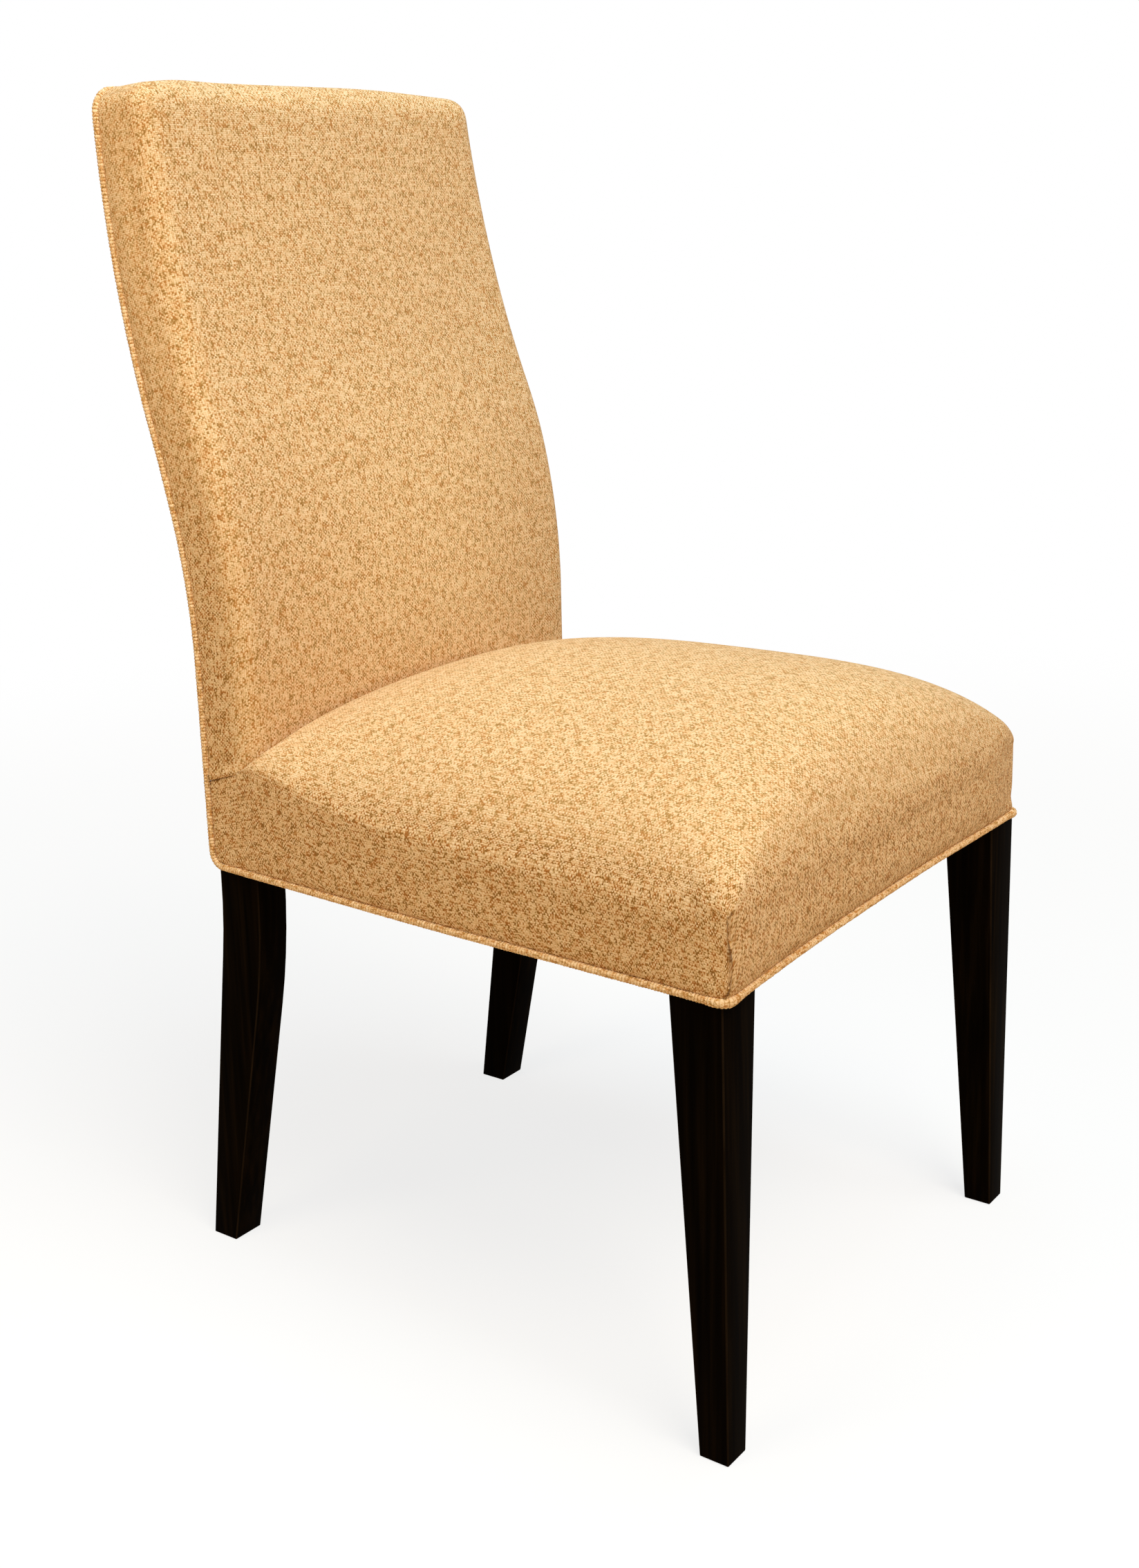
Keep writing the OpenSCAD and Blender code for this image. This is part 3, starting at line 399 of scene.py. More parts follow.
bpy.context.scene.view_settings.view_transform = "Standard"

# %% [markdown]
# ## Shaping a padded cover
# A fitted cover starts as a flat cloth that is pulled over the padding. It is made the same way
# here: a flat grid, its rim extruded for the sides, and then every point moved to its place on
# the padding. The flat grid keeps the threads of the cloth straight, which a sculpted or voxel
# mesh would lose, so the weave can follow the surface. Extruding leaves the points in no fixed
# order, so they are numbered by place, and the cloth then settles the same way in every run.


# %% Helpers for covers
def only(piece):
    """Selects one piece and makes it the active one."""
    bpy.ops.object.select_all(action="DESELECT")
    bpy.context.view_layer.objects.active = piece
    piece.select_set(True)


def edit(piece, mode="EDGE"):
    """Opens a piece in edit mode with nothing selected and returns its bmesh."""
    only(piece)
    bpy.ops.object.mode_set(mode="EDIT")
    bpy.ops.mesh.select_mode(type=mode)
    bpy.ops.mesh.select_all(action="DESELECT")
    return bmesh.from_edit_mesh(piece.data)


def leave():
    bpy.ops.object.mode_set(mode="OBJECT")


def on_whole(piece, action):
    """Runs one mesh operator on the whole piece."""
    edit(piece)
    bpy.ops.mesh.select_all(action="SELECT")
    action()
    leave()


def in_order(piece):
    """Numbers the points, edges and faces of a piece by where they lie."""
    def rank(place):
        return round(place.z, 3) * 1e8 + round(place.y, 3) * 1e4 + round(place.x, 3)

    mesh = bmesh.new()
    mesh.from_mesh(piece.data)
    mesh.verts.sort(key=lambda point: rank(point.co))
    mesh.edges.sort(key=lambda edge: rank((edge.verts[0].co + edge.verts[1].co) / 2))
    mesh.faces.sort(key=lambda face: rank(face.calc_center_bounds()))
    mesh.to_mesh(piece.data)
    mesh.free()


def pull_rim(piece, wanted, step, times):
    """Extrudes the open edges that are wanted, a number of times by one step."""
    mesh = edit(piece)
    for edge in mesh.edges:
        edge.select = edge.is_boundary and all(wanted(point.co) for point in edge.verts)
    bmesh.update_edit_mesh(piece.data)
    for _ in range(times):
        bpy.ops.mesh.extrude_region_move(TRANSFORM_OT_translate={"value": step})
    leave()
    in_order(piece)


def flat_cloth(name, across, along):
    """A flat grid from -1 to 1 each way, lying face up."""
    piece = fresh(bpy.ops.mesh.primitive_grid_add,
                  x_subdivisions=across, y_subdivisions=along, size=2, location=(0, 0, 0))
    piece.name = piece.data.name = name
    return piece


def points_of(piece):
    co = np.empty(len(piece.data.vertices) * 3)
    piece.data.vertices.foreach_get("co", co)
    return co.reshape(-1, 3)


def set_points(piece, co):
    piece.data.vertices.foreach_set("co", np.asarray(co, float).ravel())
    piece.data.update()


def pulled_over(piece, point):
    """Moves every point of a cloth to its place. Returns where it was and where it is, in mm."""
    across, along, up = points_of(piece).T
    x, y, z = point(across, along, -up)
    set_points(piece, placed(x, y, z))
    return across, along, -up, x, y, z


STEPS = 600
EVEN = np.linspace(0, 1, STEPS + 1)


def even_steps(curve):
    """Values of t from 0 to 1 that cut the curve (x(t), z(t)) into pieces of equal length."""
    t = np.linspace(0, 1, 4001)
    x, z = curve(t)
    length = np.concatenate([[0], np.cumsum(np.hypot(np.diff(x), np.diff(z)))])
    return np.interp(np.linspace(0, length[-1], STEPS + 1), length, t)


def rounded(p, q, radius):
    """Turns the corner of a square, where p and q are how far a point is into it, into an arc."""
    inside = (p > 0) & (q > 0)
    p1, q1 = np.where(inside, p, 0) / radius, np.where(inside, q, 0) / radius
    longest = np.maximum(p1, q1)
    scale = np.where(inside, longest / np.maximum(np.hypot(p1, q1), 1e-9), 1)
    return p * scale, q * scale


def round_corners(x, z, half, top, radius):
    """Rounds both upper corners of a face. Also returns how far each point is into them."""
    p, q = rounded(np.abs(x) - (half - radius), z - (top - radius), radius)
    corner = (p > 0) & (q > 0)
    x = np.where(corner, np.sign(x) * (half - radius + p), x)
    return x, np.where(corner, top - radius + q, z), p, q


def paint_uv(piece, values):
    """Writes one (u, v) per face corner as the piece's UV map, in metres of cloth."""
    layer = piece.data.uv_layers.get("cloth") or piece.data.uv_layers.new(name="cloth")
    layer.data.foreach_set("uv", np.asarray(values, float).ravel())


def mark(piece, name, values):
    """Keeps one number for every point of a piece, which its finish can read."""
    numbers = piece.data.attributes.new(name, "FLOAT", "POINT")
    numbers.data.foreach_set("value", np.asarray(values, float))


def corner_table(piece):
    """Vertex number and face number of every face corner."""
    mesh = piece.data
    vertex = np.empty(len(mesh.loops), int)
    mesh.loops.foreach_get("vertex_index", vertex)
    total = np.empty(len(mesh.polygons), int)
    mesh.polygons.foreach_get("loop_total", total)
    return vertex, np.repeat(np.arange(len(total)), total)


def applied(piece, kind, **settings):
    """Adds a modifier with these settings and applies it."""
    only(piece)
    modifier = piece.modifiers.new(kind.lower(), kind)
    for key, value in settings.items():
        setattr(modifier, key, value)
    bpy.ops.object.modifier_apply(modifier=modifier.name)


def smooth(piece):
    only(piece)
    bpy.ops.object.shade_smooth()


def thickened(piece, thickness):
    """Rounds the cloth's grid once and gives it its thickness, in mm."""
    applied(piece, "SUBSURF", levels=1, render_levels=1)
    applied(piece, "SOLIDIFY", thickness=thickness * MM, offset=-1)
    smooth(piece)


# %% Letting the cloth settle
CLOTH = {"quality": 5, "mass": 0.35, "tension_stiffness": 40, "compression_stiffness": 40,
         "shear_stiffness": 20, "bending_stiffness": 2, "vertex_group_mass": "held",
         "pin_stiffness": 1, "use_pressure": True}
SETTLE_FRAMES = 16


def settle(piece, held, pressure, most):
    """Lets the padding press the cover out where it isn't held, by at most so many mm."""
    before = points_of(piece)
    group = piece.vertex_groups.new(name="held")
    for index, weight in enumerate(held):
        if weight > 0:
            group.add([index], float(weight), "REPLACE")
    only(piece)
    cloth = piece.modifiers.new("cloth", "CLOTH")
    for key, value in CLOTH.items():
        setattr(cloth.settings, key, value)
    cloth.settings.uniform_pressure_force = pressure
    cloth.settings.effector_weights.gravity = 0
    cloth.collision_settings.use_collision = False
    cloth.point_cache.frame_start = 1
    cloth.point_cache.frame_end = SETTLE_FRAMES
    for step in range(1, SETTLE_FRAMES + 1):
        bpy.context.scene.frame_set(step)
    bpy.ops.object.modifier_apply(modifier="cloth")
    bpy.context.scene.frame_set(1)
    moved = points_of(piece) - before
    length = np.linalg.norm(moved, axis=1, keepdims=True)
    limit = np.asarray(most)[:, None] * MM
    capped = limit * np.tanh(length / limit) / np.maximum(length, 1e-9)
    set_points(piece, before + moved * np.where(length > 1e-9, capped, 1))
    piece.vertex_groups.clear()
    print(piece.name, "settled by up to", round(float(length.max()) * 1000, 2), "mm")


# %% [markdown]
# ## Seat cover
# One piece of tweed goes over the crowned seat. Its warp runs from front to back, so it stands
# upright on the front face and lies level on the side faces. Behind the seat the sides run on to
# the rear corners under the back. The excess at each front corner is taken up by a short sewn
# dart. On the left one, a fine dark line of painted shadow stands for the shade in its crease.

# %% Seat cover: flat cloth
SEAT_ACROSS, SEAT_ALONG, SEAT_WALL, FLAP_STEPS, REAR_ROWS = 96, 84, 15, 9, 3
RIM = 0.999
seat = flat_cloth("seat_cover_tweed", SEAT_ACROSS, SEAT_ALONG)
pull_rim(seat, lambda co: co.y < -RIM or abs(co.x) > RIM, (0, 0, -1), SEAT_WALL)
pull_rim(seat, lambda co: co.y > RIM and abs(co.x) > RIM, (0, 1, 0), FLAP_STEPS)
pull_rim(seat, lambda co: RIM < co.y < 1.001 and co.z > -0.5 and abs(co.x) < 0.9999,
         (0, 0, -1), REAR_ROWS)
print("seat cloth", len(seat.data.vertices), "points")

# %% Seat cover: pulled over the padding
side_steps = even_steps(lambda t: (t * 240, 99 * dome(t)))
front_steps = even_steps(lambda t: (t * SEAT_DEPTH, crown(t * SEAT_DEPTH)))
REAR_REACH = 1.10
FLAP_START, FLAP_END = SEAT_DEPTH + REAR_REACH * BACK_EDGE_R, SEAT_DEPTH + 50.8
FLAP_PLACES = (FLAP_START, FLAP_START + 2, FLAP_START + 6, FLAP_END, FLAP_END + 2.4)
FLAP_CORNER_R = 9.0


def closer(t, count):
    """Moves the last rows of a cloth towards its edge, which leaves room for a sewn line."""
    kept, moved = np.array([count, 3, 2, 1, 0]), np.array([count, 3, 1.5, 0.55, 0])
    return np.interp(t, 1 - kept / count, 1 - moved / count)


def edge_depth(e):
    """How far the rounded edge of the back has turned away at a distance e into it."""
    e = np.clip(e, 0, BACK_EDGE_R)
    return BACK_EDGE_R - np.sqrt(BACK_EDGE_R ** 2 - e ** 2)


def behind_edge(across, y):
    """How far the rear of the seat runs on under the rounded edges of the back."""
    turned = edge_depth((np.abs(across) - 1) * SEAT_REAR_W / 2 + BACK_EDGE_R)
    return REAR_REACH * turned * ramp(y, 380, SEAT_DEPTH) ** 2


def share_across(a):
    """Share of the seat's half width for a grid position, closer near the side."""
    return np.interp(closer(np.abs(a), SEAT_ACROSS / 2), EVEN, side_steps)


def seat_top_point(a, b):
    """Point of the seat's upper surface for a grid position, before its corners are rounded."""
    across = np.sign(a) * share_across(a)
    along = 1 - closer((1 - np.clip(b, -1, 1)) / 2, SEAT_ALONG)
    y = SEAT_DEPTH * np.interp(along, EVEN, front_steps)
    fold = ramp(y, SEAT_DEPTH - 9, SEAT_DEPTH) * np.clip((1 - np.abs(across)) * 9 - 0.3, 0, 1)
    y = y + behind_edge(across, y)
    return across * half_seat(y), y, seat_height(across, y) - 5 * fold ** 2


def dart_line(a, b, z):
    """1 on the sewn line of a front corner, from just under its top down to the welt."""
    return (np.abs(a) > RIM) * (b < -RIM) * ramp(z, 446, 440)


def seat_point(a, b, w):
    """Point of the cover: a across, b along, w down the walls, b over 1 on the flaps."""
    x, y, z = seat_top_point(a, b)
    down, under = np.clip(w / (SEAT_WALL - 1), 0, 1), w > SEAT_WALL - 0.5
    from_middle = x / (SEAT_FRONT_W / 2 - SEAT_CORNER_R)
    arch = FRONT_ARCH * np.clip(1 - from_middle ** 2, 0, 1) * ramp(y, 12, 0)
    low = COVER_BOTTOM + arch + hem_shift(x, y)
    rear_wall = (w > 0) & (np.abs(a) < RIM) & (b > RIM)
    wall_z = z - (z - np.where(rear_wall, z - 20, low)) * np.where(rear_wall, w / REAR_ROWS, down)
    z = np.where(w > 0, wall_z, z)
    # the flaps stand upright beside the posts, below the seam that falls towards the rear
    e = np.clip(b - 1, 0, FLAP_STEPS)
    flap_y = np.interp(e, [0, 1, 2, FLAP_STEPS - 1, FLAP_STEPS], FLAP_PLACES)
    on_flap = b > 1.001
    low = np.where(on_flap, COVER_BOTTOM + hem_shift(x, flap_y), low)
    flap_top = side_top(flap_y)
    y = np.where(on_flap, flap_y, y)
    x = np.where(on_flap, np.sign(a) * half_seat(flap_y), x)
    z = np.where(on_flap, flap_top - (flap_top - low) * np.where(w > 0, down, 0), z)
    # rounded front corners, and rounded lower rear corners of the flaps
    hw = half_seat(y)
    corner = (np.abs(x) > hw - SEAT_CORNER_R) & (y < SEAT_CORNER_R)
    x, to_front, _, _ = round_corners(x, -y, hw, 0, SEAT_CORNER_R)
    y = -to_front
    p, q = rounded(y - (FLAP_END - FLAP_CORNER_R), low + FLAP_CORNER_R - z, FLAP_CORNER_R)
    tuck = (p > 0) & (q > 0)
    y = np.where(tuck, FLAP_END - FLAP_CORNER_R + p, y)
    z = np.where(tuck, low + FLAP_CORNER_R - q, z)
    # the lower edge is drawn in to the welt, and the last row is sewn behind it
    behind_welt = (under & ~rear_wall) | (e > FLAP_STEPS - 0.5)
    drawn = (0.9 * ramp(z - low, 6, 0) ** 2 * (w > 0) + 3.2 * behind_welt) * (~rear_wall)
    z = z - 2.0 * (under & ~rear_wall)
    front_face = (y < SEAT_CORNER_R) & (np.abs(x) < hw - SEAT_CORNER_R)
    x = np.where(front_face, x, x - np.sign(x) * drawn)
    y = np.where(front_face | corner, y + drawn * np.where(corner, 0.7, 1), y)
    tucked_in = ramp(z - side_top(y), -5, -1) * ramp(y, SEAT_DEPTH, SEAT_DEPTH + 14)
    x = x - np.sign(x) * 1.8 * tucked_in * (np.abs(a) > RIM)
    x = np.where(rear_wall, 0.98 * x, x)
    # the dart at each front corner is a fine sewn line that sinks into the padding
    sewn = dart_line(a, b, z)
    x, y = x - np.sign(x) * 0.2 * sewn, y + 0.2 * sewn
    foot = ramp(z - low, 26, 0) ** 2 * (w > 0)
    # the right front corner is padded less, so it is rounder than the left one
    near = np.exp(-((SEAT_FRONT_W / 2 - x) ** 2 + y ** 2) / 36 ** 2)
    slack = near * ramp(z - low, -2, 12) * ramp(z, 456, 434)
    x, y = x - 4.2 * slack, y + 5.6 * slack
    return x - right_drawn_in(x, y), y + sewn_by_hand(x, y, foot), z


seat_a, seat_b, seat_w, seat_x, seat_y, seat_z = pulled_over(seat, seat_point)

# the soft edge between the top and the sides is rounded by smoothing its points
near_edge = (np.abs(seat_a) > 0.80) & (seat_w < 12.5) & (seat_y > 30) & (seat_y < 424)
mesh = edit(seat, "VERT")
for vertex, chosen in zip(mesh.verts, near_edge):
    vertex.select = bool(chosen)
bmesh.update_edit_mesh(seat.data)
bpy.ops.mesh.vertices_smooth(factor=0.5, repeat=26)
leave()

# %% [markdown]
# The threads are laid out by measuring the flat cloth along the surface: u across the chair and
# v along it, both in metres. On the walls they simply run on downwards.

# %% Seat cover: threads
HALF_LINE = 200
LINE = np.linspace(-1, 1, 2 * HALF_LINE + 1)


def measured(lines):
    """Running length along every line of a stack of lines."""
    step = np.linalg.norm(np.diff(lines, axis=1), axis=2)
    return np.concatenate([np.zeros((len(step), 1)), np.cumsum(step, axis=1)], axis=1)


def laid_flat(point, a, b, start):
    """Length of cloth across and along for grid positions, with the tables they come from."""
    row_places, row_of = np.unique(np.round(b, 5), return_inverse=True)
    column_places, column_of = np.unique(np.round(a, 5), return_inverse=True)
    rows = measured(np.stack([np.stack(point(LINE, 0 * LINE + k), -1) for k in row_places]))
    columns = measured(np.stack([np.stack(point(0 * LINE + k, LINE), -1) for k in column_places]))
    rows -= rows[:, [HALF_LINE]]
    columns -= columns[:, [start]]

    def looked_up(table, line, place):
        low = np.clip(place.astype(int), 0, 2 * HALF_LINE - 1)
        return table[line, low] + (table[line, low + 1] - table[line, low]) * (place - low)

    u = looked_up(rows, row_of, (a + 1) * HALF_LINE)
    v = looked_up(columns, column_of, (b + 1) * HALF_LINE)
    return u, v, rows, columns, row_of, column_of


CORNER_EASE = 0.75
top_b = np.clip(seat_b, -1, 1)
seat_u, seat_v, rows, columns, row_of, column_of = laid_flat(seat_top_point, seat_a, top_b, -1)
seat_v += behind_edge(share_across(seat_a), SEAT_DEPTH)
widest, longest = np.abs(rows[len(rows) // 2]).max(), -columns[len(columns) // 2].min()
wide_here, long_here = np.abs(rows[:, -1])[row_of], -columns[:, 0][column_of]
seat_u += np.sign(seat_a) * CORNER_EASE * (widest - wide_here) * ease(np.abs(seat_a), 0.35, 1)
seat_v -= CORNER_EASE * (longest - long_here) * ease(-top_b, 0.2, 1)
corner_vertex, corner_face = corner_table(seat)
centre = np.array([p.center[:] for p in seat.data.polygons]) / MM
centre_y = centre[:, 1] + MID_Y
front = (np.abs(centre[:, 0]) - half_seat(centre_y) < -centre_y)[corner_face]
down_front, down_side = SIDE_TOP - seat_z, side_top(seat_y) - seat_z
u, v = seat_u[corner_vertex], seat_v[corner_vertex]
wall, side = seat_w[corner_vertex] > 0, np.sign(seat_a[corner_vertex])
u = np.where(wall & ~front, u + side * down_side[corner_vertex], u)
v = np.where(wall & front, v - down_front[corner_vertex], v)
v = np.where(seat_b[corner_vertex] > 1.001, seat_y[corner_vertex] - SEAT_DEPTH, v)
paint_uv(seat, np.stack([u, v], -1) * MM)
# the crease of the left dart gets a fine line of painted shadow
mark(seat, "sewn", dart_line(seat_a, seat_b, seat_z) * (seat_a < 0))
# the seat's top gets paler flecks: partly wear where it is sat on, partly painted light on the lit
# top
sat_on_and_lit = np.clip((seat_z - 434) / 26, 0.1, 1)
mark(seat, "worn_and_lit", np.where(seat_w > 0, 0.1 * (seat_b < -RIM), sat_on_and_lit))
print("cloth of the seat", round(2 * (widest + 65)), "x", round(longest + 65), "mm")

# %% Seat cover: settle, thicken and finish
at_hem = seat_w >= SEAT_WALL - 0.5
at_back = (np.abs(seat_b - 1) < 0.03) | (seat_b > 1.001)
on_dart = (np.abs(seat_a) > RIM) & (seat_b < -RIM)
COVER_THICK = 1.8
settle(seat, at_hem | at_back | on_dart, 2.2, np.where(seat_w > 0, 1.0, 2.5))
thickened(seat, COVER_THICK)
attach(seat, "root")
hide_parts("seat_cover", "seat_batting", "seat_foam", "rail_padding")
print("seat cover", len(seat.data.polygons), "faces")

# %% [markdown]
# ## Inside back cover
# The back is a padded board with an S-curve. The cover goes over its front, turns round soft
# edges, and ends at the welt behind. It is made like the seat: a flat cloth whose rim is pulled
# back on three sides. The lower edge is tucked in at the seam above the seat.

# %% Inside back cover: flat cloth over the board
BACK_ACROSS, BACK_ALONG, BACK_WALL = 84, 96, 9
BACK_LOW, BACK_COVER_D = SEAM_Z - 2.6, BACK_T - 0.8
LOW_ROWS, LOW_PLACES = [0, 1, 2, 3, 4, 5, BACK_ALONG], [0, 1.4, 2.8, 4.7, 7.7, 12.8, 532.6]
back = flat_cloth("back_cover_tweed", BACK_ACROSS, BACK_ALONG)
pull_rim(back, lambda co: co.y > RIM or abs(co.x) > RIM, (0, 0, -1), BACK_WALL)
edge_steps = even_steps(lambda t: ((t - 1) * 200, edge_depth(BACK_EDGE_R - (1 - t) * 200)))


def back_point(a, b, w=0):
    """Point of the cover of the back: a across, b up, w back along the side."""
    up = np.interp((b + 1) / 2 * BACK_ALONG, LOW_ROWS, np.array(LOW_PLACES) / LOW_PLACES[-1])
    z = BACK_LOW + (BACK_TOP - BACK_LOW) * np.interp(up, EVEN, edge_steps)
    hw = half_back(z)
    x = np.sign(a) * np.interp(np.abs(a), EVEN, edge_steps) * hw
    x, z, p, q = round_corners(x, z, hw, BACK_TOP, BACK_EDGE_R)
    straight = np.maximum(np.clip(p, 0, None), np.clip(q, 0, None))
    d = edge_depth(np.where((p > 0) & (q > 0), np.hypot(p, q), straight))
    swell = np.sin(np.pi * ramp(z, 470, BACK_TOP - 2)) ** 0.8
    d = d - BACK_CROWN * np.clip(1 - (x / (hw - 4)) ** 2, 0, 1) * swell
    behind_welt = w > BACK_WALL - 0.5
    on_wall = BACK_EDGE_R + (BACK_COVER_D - BACK_EDGE_R) * np.clip(w / (BACK_WALL - 1), 0, 1)
    d = np.where(w > 0, on_wall, d)
    drawn = 0.8 * ramp(BACK_COVER_D - d, 6, 0) ** 2 + 2.8 * behind_welt
    d = d + 1.6 * behind_welt
    folded = 2.4 * np.exp(-((z - BACK_LOW - 2.6) / 2.8) ** 2) * ramp(d, 3, 11)
    x = np.where(np.abs(a) > RIM, x + np.sign(x) * folded, x)
    x = np.where((w > 0) & (np.abs(a) > RIM), x - np.sign(x) * drawn, x)
    z = np.where((w > 0) & (b > RIM), z - drawn, z)
    z = z + top_rise(x, z)
    z = z - seam_fall(d) * ramp(z, BACK_LOW + 60, BACK_LOW)
    return x, *back_at(z, d)


back_a, back_b, back_w, back_x, back_y, back_z = pulled_over(back, back_point)

# %% Inside back cover: threads, settling and finish
back_u, back_v, *_ = laid_flat(back_point, back_a, back_b, 0)
corner_vertex, corner_face = corner_table(back)
reach = (back_w / (BACK_WALL - 1) * (BACK_COVER_D - BACK_EDGE_R))[corner_vertex]
normal = np.array([p.normal[:] for p in back.data.polygons])
on_top = (normal[:, 2] > np.abs(normal[:, 0]))[corner_face]
u, v = back_u[corner_vertex], back_v[corner_vertex]
wall, side = back_w[corner_vertex] > 0, np.sign(back_a[corner_vertex])
u = np.where(wall & ~on_top, u + side * reach, u)
v = np.where(wall & on_top, v + reach, v)
paint_uv(back, np.stack([u + 900, v + 300], -1) * MM)
# the back gets paler flecks in front and higher up its sides: partly wear, partly painted light
mark(back, "worn_and_lit", np.where(back_w > 0, 0.3 + 0.9 * ramp(back_z, 560, 840), 0.85))
settle(back, (back_w >= BACK_WALL - 0.5) | (back_b < -RIM), 0.8, np.full(len(back_w), 2.0))
thickened(back, COVER_THICK)
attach(back, "root")
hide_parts("inside_back_cover", "back_batting", "back_foam")
print("inside back cover", len(back.data.polygons), "faces")

# %% [markdown]
# ## Outside back cover
# Behind, a single flat panel is tacked under the top edge and clamped along the sides. It is
# thin and only lightly padded, so it follows the board and rolls in at its edges beside the welt.

# %% Outside back cover
PANEL_LOW, PANEL_INSET, PANEL_CORNER_R, PANEL_THICK = 365.6, WELT_INSET + WELT_R + 0.35, 9.0, 1.0
panel = flat_cloth("outside_back_tweed", 40, 70)
pull_rim(panel, lambda co: True, (0, 0, -1), 2)


def panel_point(a, b, w):
    """Point of the outside back: the rim turns in towards the board."""
    top = BACK_TOP - PANEL_INSET
    z = PANEL_LOW + (top - PANEL_LOW) * (b + 1) / 2
    half = half_back(z) - PANEL_INSET
    x, z, _, _ = round_corners(a * half, z, half, top, PANEL_CORNER_R)
    puff = 0.9 * (1 - np.abs(a) ** 6) * (1 - np.abs(b) ** 8)
    return x, *back_at(z + top_rise(x, z), BACK_T - 0.6 + puff - 0.9 * w)


*_, panel_x, panel_y, panel_z = pulled_over(panel, panel_point)
corner_vertex, corner_face = corner_table(panel)
paint_uv(panel, np.stack([panel_x[corner_vertex] + 300, panel_z[corner_vertex]], -1) * MM)
# the panel's flecks are paled a little: partly wear, partly painted light
mark(panel, "worn_and_lit", np.full(len(panel_x), 0.6))
on_whole(panel, bpy.ops.mesh.flip_normals)
thickened(panel, PANEL_THICK)
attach(panel, "root")
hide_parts("outside_back_cover")
print("outside back", [round(v, 3) for v in panel.dimensions])

# %% [markdown]
# ## Welt
# The welt is a strip of the same tweed, cut on the bias and sewn round a cord. Because the
# strip is pulled tight, its yarns stand up as ribs across the cord. It makes one loop: along the
# lower edge of the seat, up both rear edges and over the top. Each rib is a swelling of a tube
# that follows the loop, because a thousand separate ribs would be too heavy.

# %% Welt: its path
def run_of(x, y, z):
    return np.stack(np.broadcast_arrays(x, y, z), -1)


def welt_path():
    """Points in mm from the middle of the front, round the right side and over the top."""
    def front_height(x):
        return WELT_Z + FRONT_ARCH * np.clip(1 - (x / (SEAT_FRONT_W / 2 - 10)) ** 2, 0, 1)

    r = SEAT_CORNER_R - WELT_INSET + 2
    fx = half_seat(WELT_INSET + r) - WELT_INSET - r
    t = np.linspace(0, math.pi / 2, 13)[1:]
    x = np.linspace(0, fx, 40)
    parts = [run_of(x, WELT_INSET, front_height(x))]
    parts.append(run_of(fx + r * np.sin(t), WELT_INSET + r * (1 - np.cos(t)), front_height(fx)))
    corner_y = BACK_Y + WELT_INSET - WELT_BEND
    y = np.linspace(WELT_INSET + r, corner_y, 60)[1:]
    fall = front_height(fx) - WELT_Z
    parts.append(run_of(half_seat(y) - WELT_INSET, y, WELT_Z + fall * ramp(y, 50, 10)))
    y = corner_y + WELT_BEND * np.sin(t)
    parts.append(run_of(half_seat(y) - WELT_INSET, y, WELT_Z + WELT_BEND * (1 - np.cos(t))))
    bend, top, depth = BACK_EDGE_R - WELT_INSET, BACK_TOP - WELT_INSET, BACK_T + WELT_INSET
    z = np.linspace(WELT_Z + WELT_BEND, top - bend, 90)[1:]
    parts.append(run_of(half_back(z) - WELT_INSET, *back_at(z, depth)))
    z = top - bend + bend * np.sin(t)
    x = half_back(z) - WELT_INSET - bend * (1 - np.cos(t))
    parts.append(run_of(x, *back_at(z + top_rise(x, z), depth)))
    x = np.linspace(x[-1], 0, 40)[1:]
    parts.append(run_of(x, *back_at(top + top_rise(x, top), depth)))
    half = np.concatenate(parts)
    return np.concatenate([half, half[::-1][1:-1] * np.array([-1, 1, 1])])


path = welt_path()
low_part = ramp(path[:, 2], WELT_Z + FRONT_ARCH + 60, WELT_Z + FRONT_ARCH)
path[:, 2] += hem_shift(path[:, 0], path[:, 1]) * low_part
path[:, 1] += sewn_by_hand(path[:, 0], path[:, 1])
path[:, 0] -= right_drawn_in(path[:, 0], path[:, 1])
closed = np.concatenate([path, path[:1]])
run = np.concatenate([[0], np.cumsum(np.linalg.norm(np.diff(closed, axis=0), axis=1))])
WELT_LENGTH = float(run[-1])
print("welt length", round(WELT_LENGTH), "mm")

# %% Welt: ribbed tube along the path
RIB_PITCH, RIB_RINGS, RIB_DEPTH, WELT_SIDES = 2.7, 5, 0.7, 12
ribs = int(WELT_LENGTH / RIB_PITCH)
ring_count = ribs * RIB_RINGS
chance = np.random.default_rng(7)
rib_size = chance.normal(0, 0.10, ribs)
rib_shift = chance.normal(0, 0.25, ribs)
station = np.linspace(0, WELT_LENGTH, ring_count, endpoint=False)
centre = np.stack([np.interp(station, run, closed[:, k]) for k in range(3)], -1)
ahead_of = np.roll(centre, -3, 0) - np.roll(centre, 3, 0)
direction = ahead_of / np.linalg.norm(ahead_of, axis=1, keepdims=True)
outward = np.cross(direction, np.array([0, -1, 1.0]))
outward /= np.linalg.norm(outward, axis=1, keepdims=True)
sideways = np.cross(direction, outward)
angle = np.arange(WELT_SIDES) * 2 * math.pi / WELT_SIDES
rib_index = np.arange(ring_count) // RIB_RINGS
phase = (np.arange(ring_count) % RIB_RINGS) / RIB_RINGS
slant = 0.06 * np.sin(angle[None, :] + rib_shift[rib_index][:, None])
swell = np.abs(np.sin(math.pi * (phase[:, None] + slant)))
bunched = sum(np.exp(-((centre[:, 0] - side * 243) ** 2 + (centre[:, 1] - 6) ** 2) / 12 ** 2)
              for side in (-1, 1))
radius = (WELT_R - RIB_DEPTH + RIB_DEPTH * swell ** 0.7
          + rib_size[rib_index][:, None] * 0.8 * swell + 1.2 * bunched[:, None])
tube = (centre[:, None] + radius[..., None] * (np.cos(angle)[None, :, None] * outward[:, None]
        + np.sin(angle)[None, :, None] * sideways[:, None]))
welt = fresh(bpy.ops.mesh.primitive_circle_add,
             vertices=WELT_SIDES, radius=WELT_R * MM, location=(0, 0, 0))
